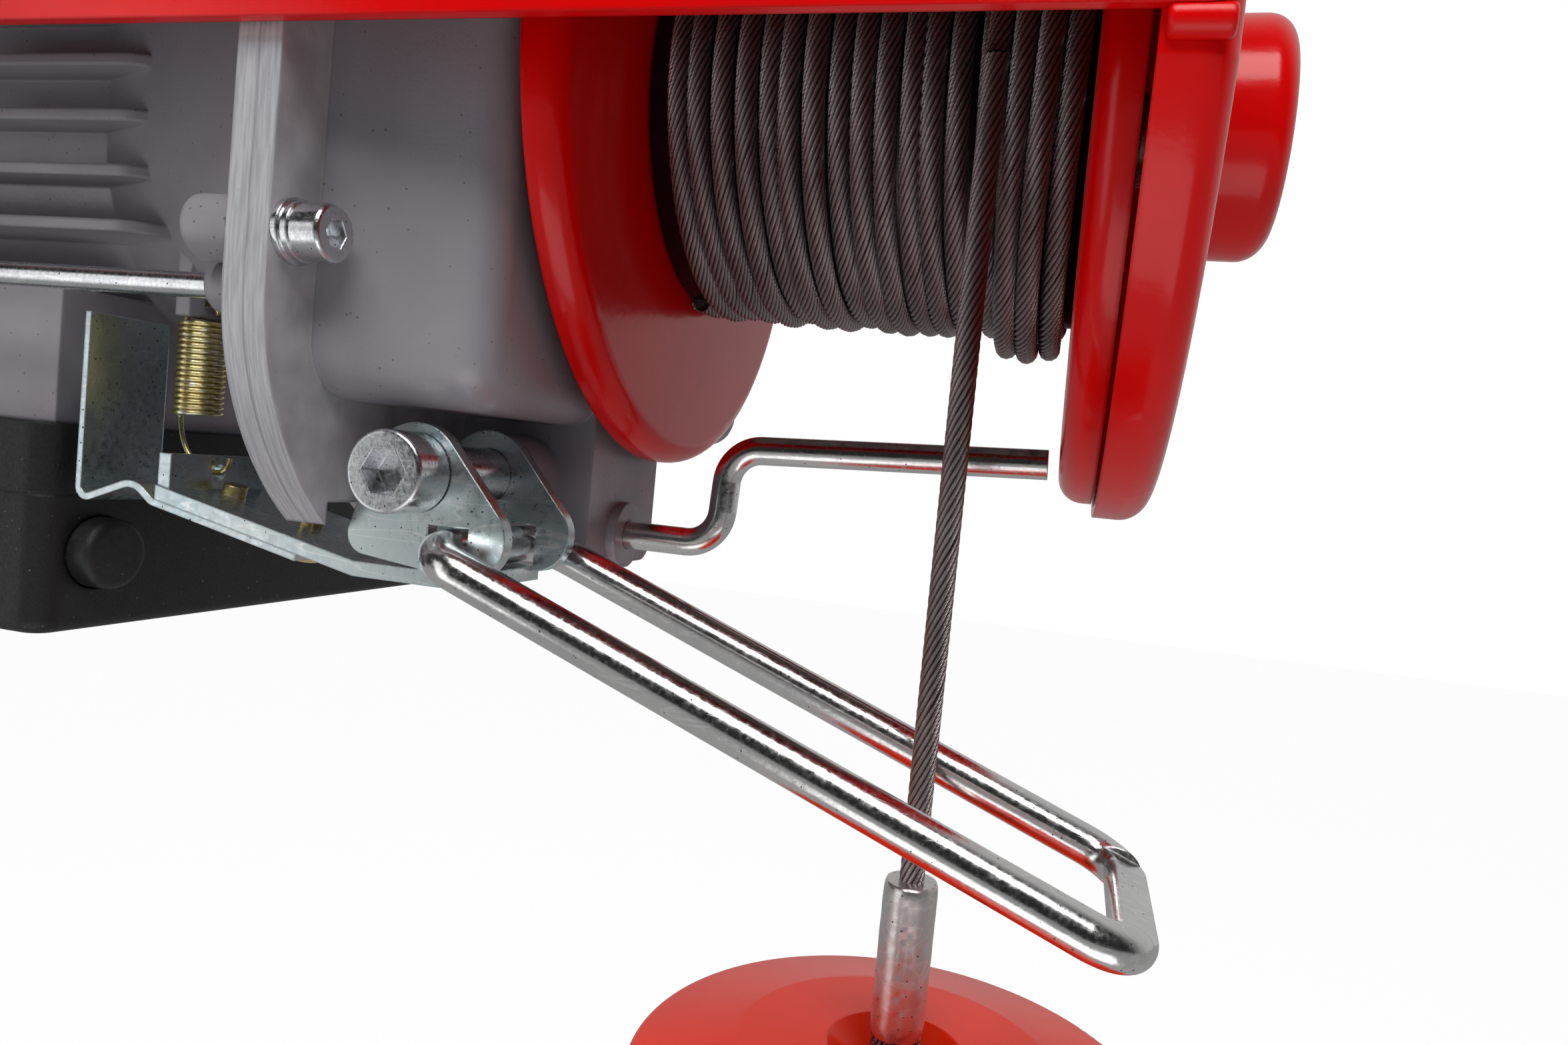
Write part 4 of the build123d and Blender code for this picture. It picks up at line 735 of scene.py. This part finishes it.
# %% Ferrule
def ferrule_mesh(top, bottom, radius, seam, around=72, rows=52):
    """A pressed tube with a seam at one angle; its ends are closed."""
    work = bmesh.new()
    rings = []
    for row in range(rows + 1):
        share = row / rows
        z = top + (bottom - top) * share
        ends = min(1.0, share * 14, (1 - share) * 14)
        ring = []
        for k in range(around):
            angle = 2 * math.pi * k / around
            oval = 0.965 + 0.03 * math.cos(2 * (angle - seam))
            ragged = noise.noise(Vector((z * 900, 1.7, 0.0))) * 0.10
            off = math.atan2(math.sin(angle - seam - ragged), math.cos(angle - seam - ragged))
            ridge = 0.055 * math.exp(-(off / 0.10) ** 2)
            groove = 0.05 * math.exp(-((off - 0.24) / 0.10) ** 2)
            spot = Vector((math.cos(angle) * 2.5, math.sin(angle) * 2.5, z * 420))
            shape = oval + ridge - groove + 0.012 * noise.noise(spot)
            reach = radius * min(1.0, (0.93 + 0.07 * math.sqrt(ends)) * shape)
            ring.append(work.verts.new((ROPE_X + reach * math.cos(angle),
                                        ROPE_Y + reach * math.sin(angle), z)))
        rings.append(ring)
    for high, low in zip(rings, rings[1:]):
        for k in range(around):
            work.faces.new((low[k], low[(k + 1) % around], high[(k + 1) % around], high[k]))
    work.faces.new(rings[0])
    work.faces.new(reversed(rings[-1]))
    bmesh.ops.recalc_face_normals(work, faces=work.faces)
    for face in work.faces:
        face.smooth = len(face.verts) == 4
    mesh = bpy.data.meshes.new("pressed_ferrule")
    work.to_mesh(mesh)
    work.free()
    mesh.materials.append(soft_aluminium)
    obj = bpy.data.objects.new("pressed_ferrule", mesh)
    bpy.context.scene.collection.objects.link(obj)
    return obj


low_corner, high_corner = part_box("ferrule")
ferrule = ferrule_mesh(high_corner[2], low_corner[2], (high_corner[0] - low_corner[0]) / 2,
                       seam=math.radians(-98))
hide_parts("ferrule")
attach(ferrule, "hook_block")
print("ferrule from", round(high_corner[2], 4), "to", round(low_corner[2], 4))

# %% [markdown]
# ## The return spring
#
# The lever's return spring is wound turn against turn from yellow zinc plated wire, with an open
# hook at each end: one through the lug on the motor housing, one through the lever's tab. Its
# tree bends a straight line into a helix and sweeps a round wire along it and along both hooks.

# %% Coil spring
SPRING_X = -0.046
SPRING_Y = -0.048028
SPRING_LOW = -0.1437
SPRING_HIGH = -0.1268
SPRING_TURNS = 17


def spring_tree():
    """Geometry Nodes tree: a close coil about the vertical, with hooks from a given line."""
    tree = bpy.data.node_groups.new("Coil spring", "GeometryNodeTree")
    face = tree.interface
    face.new_socket("Line", in_out="INPUT", socket_type="NodeSocketGeometry")
    for label, value in (("Coil radius", 0.00375), ("Wire radius", 0.00045), ("Turns", 17.0),
                         ("Low", 0.0), ("High", 0.017), ("Centre X", 0.0), ("Centre Y", 0.0)):
        socket = face.new_socket(label, in_out="INPUT", socket_type="NodeSocketFloat")
        socket.default_value = value
    face.new_socket("Finish", in_out="INPUT", socket_type="NodeSocketMaterial")
    face.new_socket("Spring", in_out="OUTPUT", socket_type="NodeSocketGeometry")
    given = tree.nodes.new("NodeGroupInput")
    out = tree.nodes.new("NodeGroupOutput")
    axis = tree.nodes.new("GeometryNodeCurvePrimitiveLine")
    points = add(tree, "GeometryNodeResampleCurve", Curve=axis.outputs[0],
                 Count=SPRING_TURNS * 24 + 1)
    share = tree.nodes.new("GeometryNodeSplineParameter").outputs["Factor"]
    turned = maths(tree, "MULTIPLY", maths(tree, "MULTIPLY", share, given.outputs["Turns"]),
                   2 * math.pi)
    angle = maths(tree, "ADD", turned, math.pi)
    length = maths(tree, "SUBTRACT", given.outputs["High"], given.outputs["Low"])
    rise = maths(tree, "MULTIPLY", share, length)
    reach = given.outputs["Coil radius"]
    helix = add(tree, "ShaderNodeCombineXYZ",
                X=maths(tree, "ADD", given.outputs["Centre X"],
                        maths(tree, "MULTIPLY", maths(tree, "COSINE", angle), reach)),
                Y=maths(tree, "ADD", given.outputs["Centre Y"],
                        maths(tree, "MULTIPLY", maths(tree, "SINE", angle), reach)),
                Z=maths(tree, "ADD", given.outputs["Low"], rise))
    coil = add(tree, "GeometryNodeSetPosition", Geometry=points.outputs[0],
               Position=helix.outputs[0])
    hooks = add(tree, "GeometryNodeResampleCurve", Curve=given.outputs["Line"])
    hooks.mode = "LENGTH"
    put(tree, 0.0004, hooks.inputs["Length"])
    both = tree.nodes.new("GeometryNodeJoinGeometry")
    tree.links.new(coil.outputs[0], both.inputs[0])
    tree.links.new(hooks.outputs[0], both.inputs[0])
    section = add(tree, "GeometryNodeCurvePrimitiveCircle", Resolution=12,
                  Radius=given.outputs["Wire radius"])
    wire = add(tree, "GeometryNodeCurveToMesh", Curve=both.outputs[0],
               Profile_Curve=section.outputs[0])
    wire.inputs["Fill Caps"].default_value = True
    smooth = add(tree, "GeometryNodeSetShadeSmooth", Geometry=wire.outputs[0])
    real = add(tree, "GeometryNodeRealizeInstances", Geometry=smooth.outputs[0])
    done = add(tree, "GeometryNodeSetMaterial", Geometry=real.outputs[0],
               Material=given.outputs["Finish"])
    tree.links.new(done.outputs[0], out.inputs[0])
    return tree


def hook_lines():
    """Both hooks as one curve object with two splines, in the plane through the axis."""
    upper = [(-3.75, 0.0), (-3.6, 1.3), (-2.0, 3.0), (0.0, 3.2), (2.2, 3.0), (3.0, 1.2)]
    lower = [(-3.75, 0.0), (-3.5, -4.0), (-0.5, -8.5), (4.0, -10.2), (7.2, -9.5), (7.6, -7.2)]
    line = line_object("hook_lines", [(SPRING_X + x / 1000, SPRING_Y, SPRING_HIGH + z / 1000)
                                      for x, z in upper])
    spline = line.data.splines.new("NURBS")
    spline.points.add(len(lower) - 1)
    for point, (x, z) in zip(spline.points, lower):
        point.co = (SPRING_X + x / 1000, SPRING_Y, SPRING_LOW + z / 1000, 1)
    spline.order_u = 3
    spline.use_endpoint_u = True
    return line


spring = run_tree("return_spring", hook_lines(), spring_tree(), Turns=float(SPRING_TURNS),
                  Low=SPRING_LOW, High=SPRING_HIGH, Centre_X=SPRING_X, Centre_Y=SPRING_Y,
                  Finish=yellow_zinc)
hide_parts("lever_spring")
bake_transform(spring)
print("spring of", SPRING_TURNS, "turns")

# %% [markdown]
# ## The stage
#
# The hoist hangs in front of a white room. The floor lies well below the hook. To the camera it
# is almost white by itself, and a little light adds the rest, so that the soft shadow under the
# hoist stays. Paint and metal mirror it as a paler grey, or they would look milky from below.
# To all other rays it is a plain pale floor.

# %% Stage
FLOOR_WHITE = 0.95
FLOOR_MIRRORED = 0.28


def white_stage():
    material = bpy.data.materials.new("white_stage")
    material.use_nodes = True
    tree = material.node_tree
    tree.nodes.clear()
    rays = tree.nodes.new("ShaderNodeLightPath")
    seen = maths(tree, "MAXIMUM", rays.outputs["Is Camera Ray"], rays.outputs["Is Glossy Ray"])
    seen = maths(tree, "MAXIMUM", seen, rays.outputs["Is Transmission Ray"])
    plain = add(tree, "ShaderNodeBsdfDiffuse", Color=(0.8, 0.8, 0.8, 1))
    faint = add(tree, "ShaderNodeBsdfDiffuse", Color=(0.16, 0.16, 0.16, 1))
    strength = add(tree, "ShaderNodeMapRange", Value=rays.outputs["Is Glossy Ray"],
                   To_Min=FLOOR_WHITE, To_Max=FLOOR_MIRRORED)
    glow = add(tree, "ShaderNodeEmission", Color=(1, 1, 1, 1), Strength=strength.outputs[0])
    shown = tree.nodes.new("ShaderNodeAddShader")
    tree.links.new(faint.outputs[0], shown.inputs[0])
    tree.links.new(glow.outputs[0], shown.inputs[1])
    choice = add(tree, "ShaderNodeMixShader", Fac=seen)
    tree.links.new(plain.outputs[0], choice.inputs[1])
    tree.links.new(shown.outputs[0], choice.inputs[2])
    tree.links.new(choice.outputs[0], tree.nodes.new("ShaderNodeOutputMaterial").inputs[0])
    return material


floor_mesh = bpy.data.meshes.new("floor")
floor_z = cad_low[2] - 0.55
floor_mesh.from_pydata([(-6, -6, floor_z), (6, -6, floor_z), (6, 6, floor_z), (-6, 6, floor_z)], [],
                       [(0, 1, 2, 3)])
floor_mesh.materials.append(white_stage())
floor = bpy.data.objects.new("floor", floor_mesh)
bpy.context.scene.collection.objects.link(floor)
print("floor at", round(floor_z, 3))

# %% [markdown]
# ## Light
#
# A large soft source above and in front lights the paint and gives the streaks on the rods. The
# steel channel shades the casting and the drum from it, so they grow lighter towards their
# undersides, where the pale floor sends light back. The room is white to the camera. Polished
# metal needs something dark to mirror as well, so in reflections the room is white behind the
# hoist and dark grey in front of it, where the photographer would stand. A weak source behind
# lights the back. It stays out of reflections, or the disc would shine pink along its top.

# %% World and lamps
world = bpy.data.worlds.new("room")
bpy.context.scene.world = world
world.use_nodes = True
room = world.node_tree
room.nodes.clear()
rays = room.nodes.new("ShaderNodeLightPath")
seen = maths(room, "MAXIMUM", rays.outputs["Is Camera Ray"], rays.outputs["Is Transmission Ray"])
direction = room.nodes.new("ShaderNodeTexCoord").outputs["Generated"]
way = add(room, "ShaderNodeSeparateXYZ", Vector=direction)
behind = add(room, "ShaderNodeMapRange", Value=way.outputs["Y"], From_Min=-0.15, From_Max=0.45,
             To_Min=0.02, To_Max=0.5)
mirrored = add(room, "ShaderNodeBackground", Color=(1, 1, 1, 1), Strength=behind.outputs[0])
white = add(room, "ShaderNodeBackground", Color=(1, 1, 1, 1), Strength=1.0)
dim = add(room, "ShaderNodeBackground", Color=(0.97, 0.97, 1.0, 1), Strength=0.16)
glossy = add(room, "ShaderNodeMixShader", Fac=rays.outputs["Is Glossy Ray"])
room.links.new(dim.outputs[0], glossy.inputs[1])
room.links.new(mirrored.outputs[0], glossy.inputs[2])
choice = add(room, "ShaderNodeMixShader", Fac=seen)
room.links.new(glossy.outputs[0], choice.inputs[1])
room.links.new(white.outputs[0], choice.inputs[2])
room.links.new(choice.outputs[0], room.nodes.new("ShaderNodeOutputWorld").inputs[0])


def soft_box(name, place, target, size, power):
    """A rectangular area lamp that faces a target."""
    lamp = bpy.data.lights.new(name, "AREA")
    lamp.shape = "RECTANGLE"
    lamp.size, lamp.size_y = size
    lamp.energy = power
    obj = bpy.data.objects.new(name, lamp)
    bpy.context.scene.collection.objects.link(obj)
    obj.location = place
    obj.rotation_euler = (Vector(target) - Vector(place)).to_track_quat("-Z", "Y").to_euler()
    return obj


soft_box("key_light", (0.18, -0.62, 0.72), (0.03, 0, -0.12), (0.9, 0.5), 9.5)
soft_box("side_light", (-0.6, -0.6, -0.2), (-0.05, 0, -0.12), (0.3, 0.8), 0.9)
soft_box("low_light", (0.2, -0.5, -0.7), (0.03, 0, -0.12), (0.8, 0.4), 1.3)
rear = soft_box("rear_light", (-0.1, 0.8, 0.3), (0, 0, -0.1), (0.8, 0.5), 2.5)
rear.visible_glossy = False
print("room and 4 lamps")

# %% Picture settings and last line
bpy.context.scene.view_settings.view_transform = "Standard"
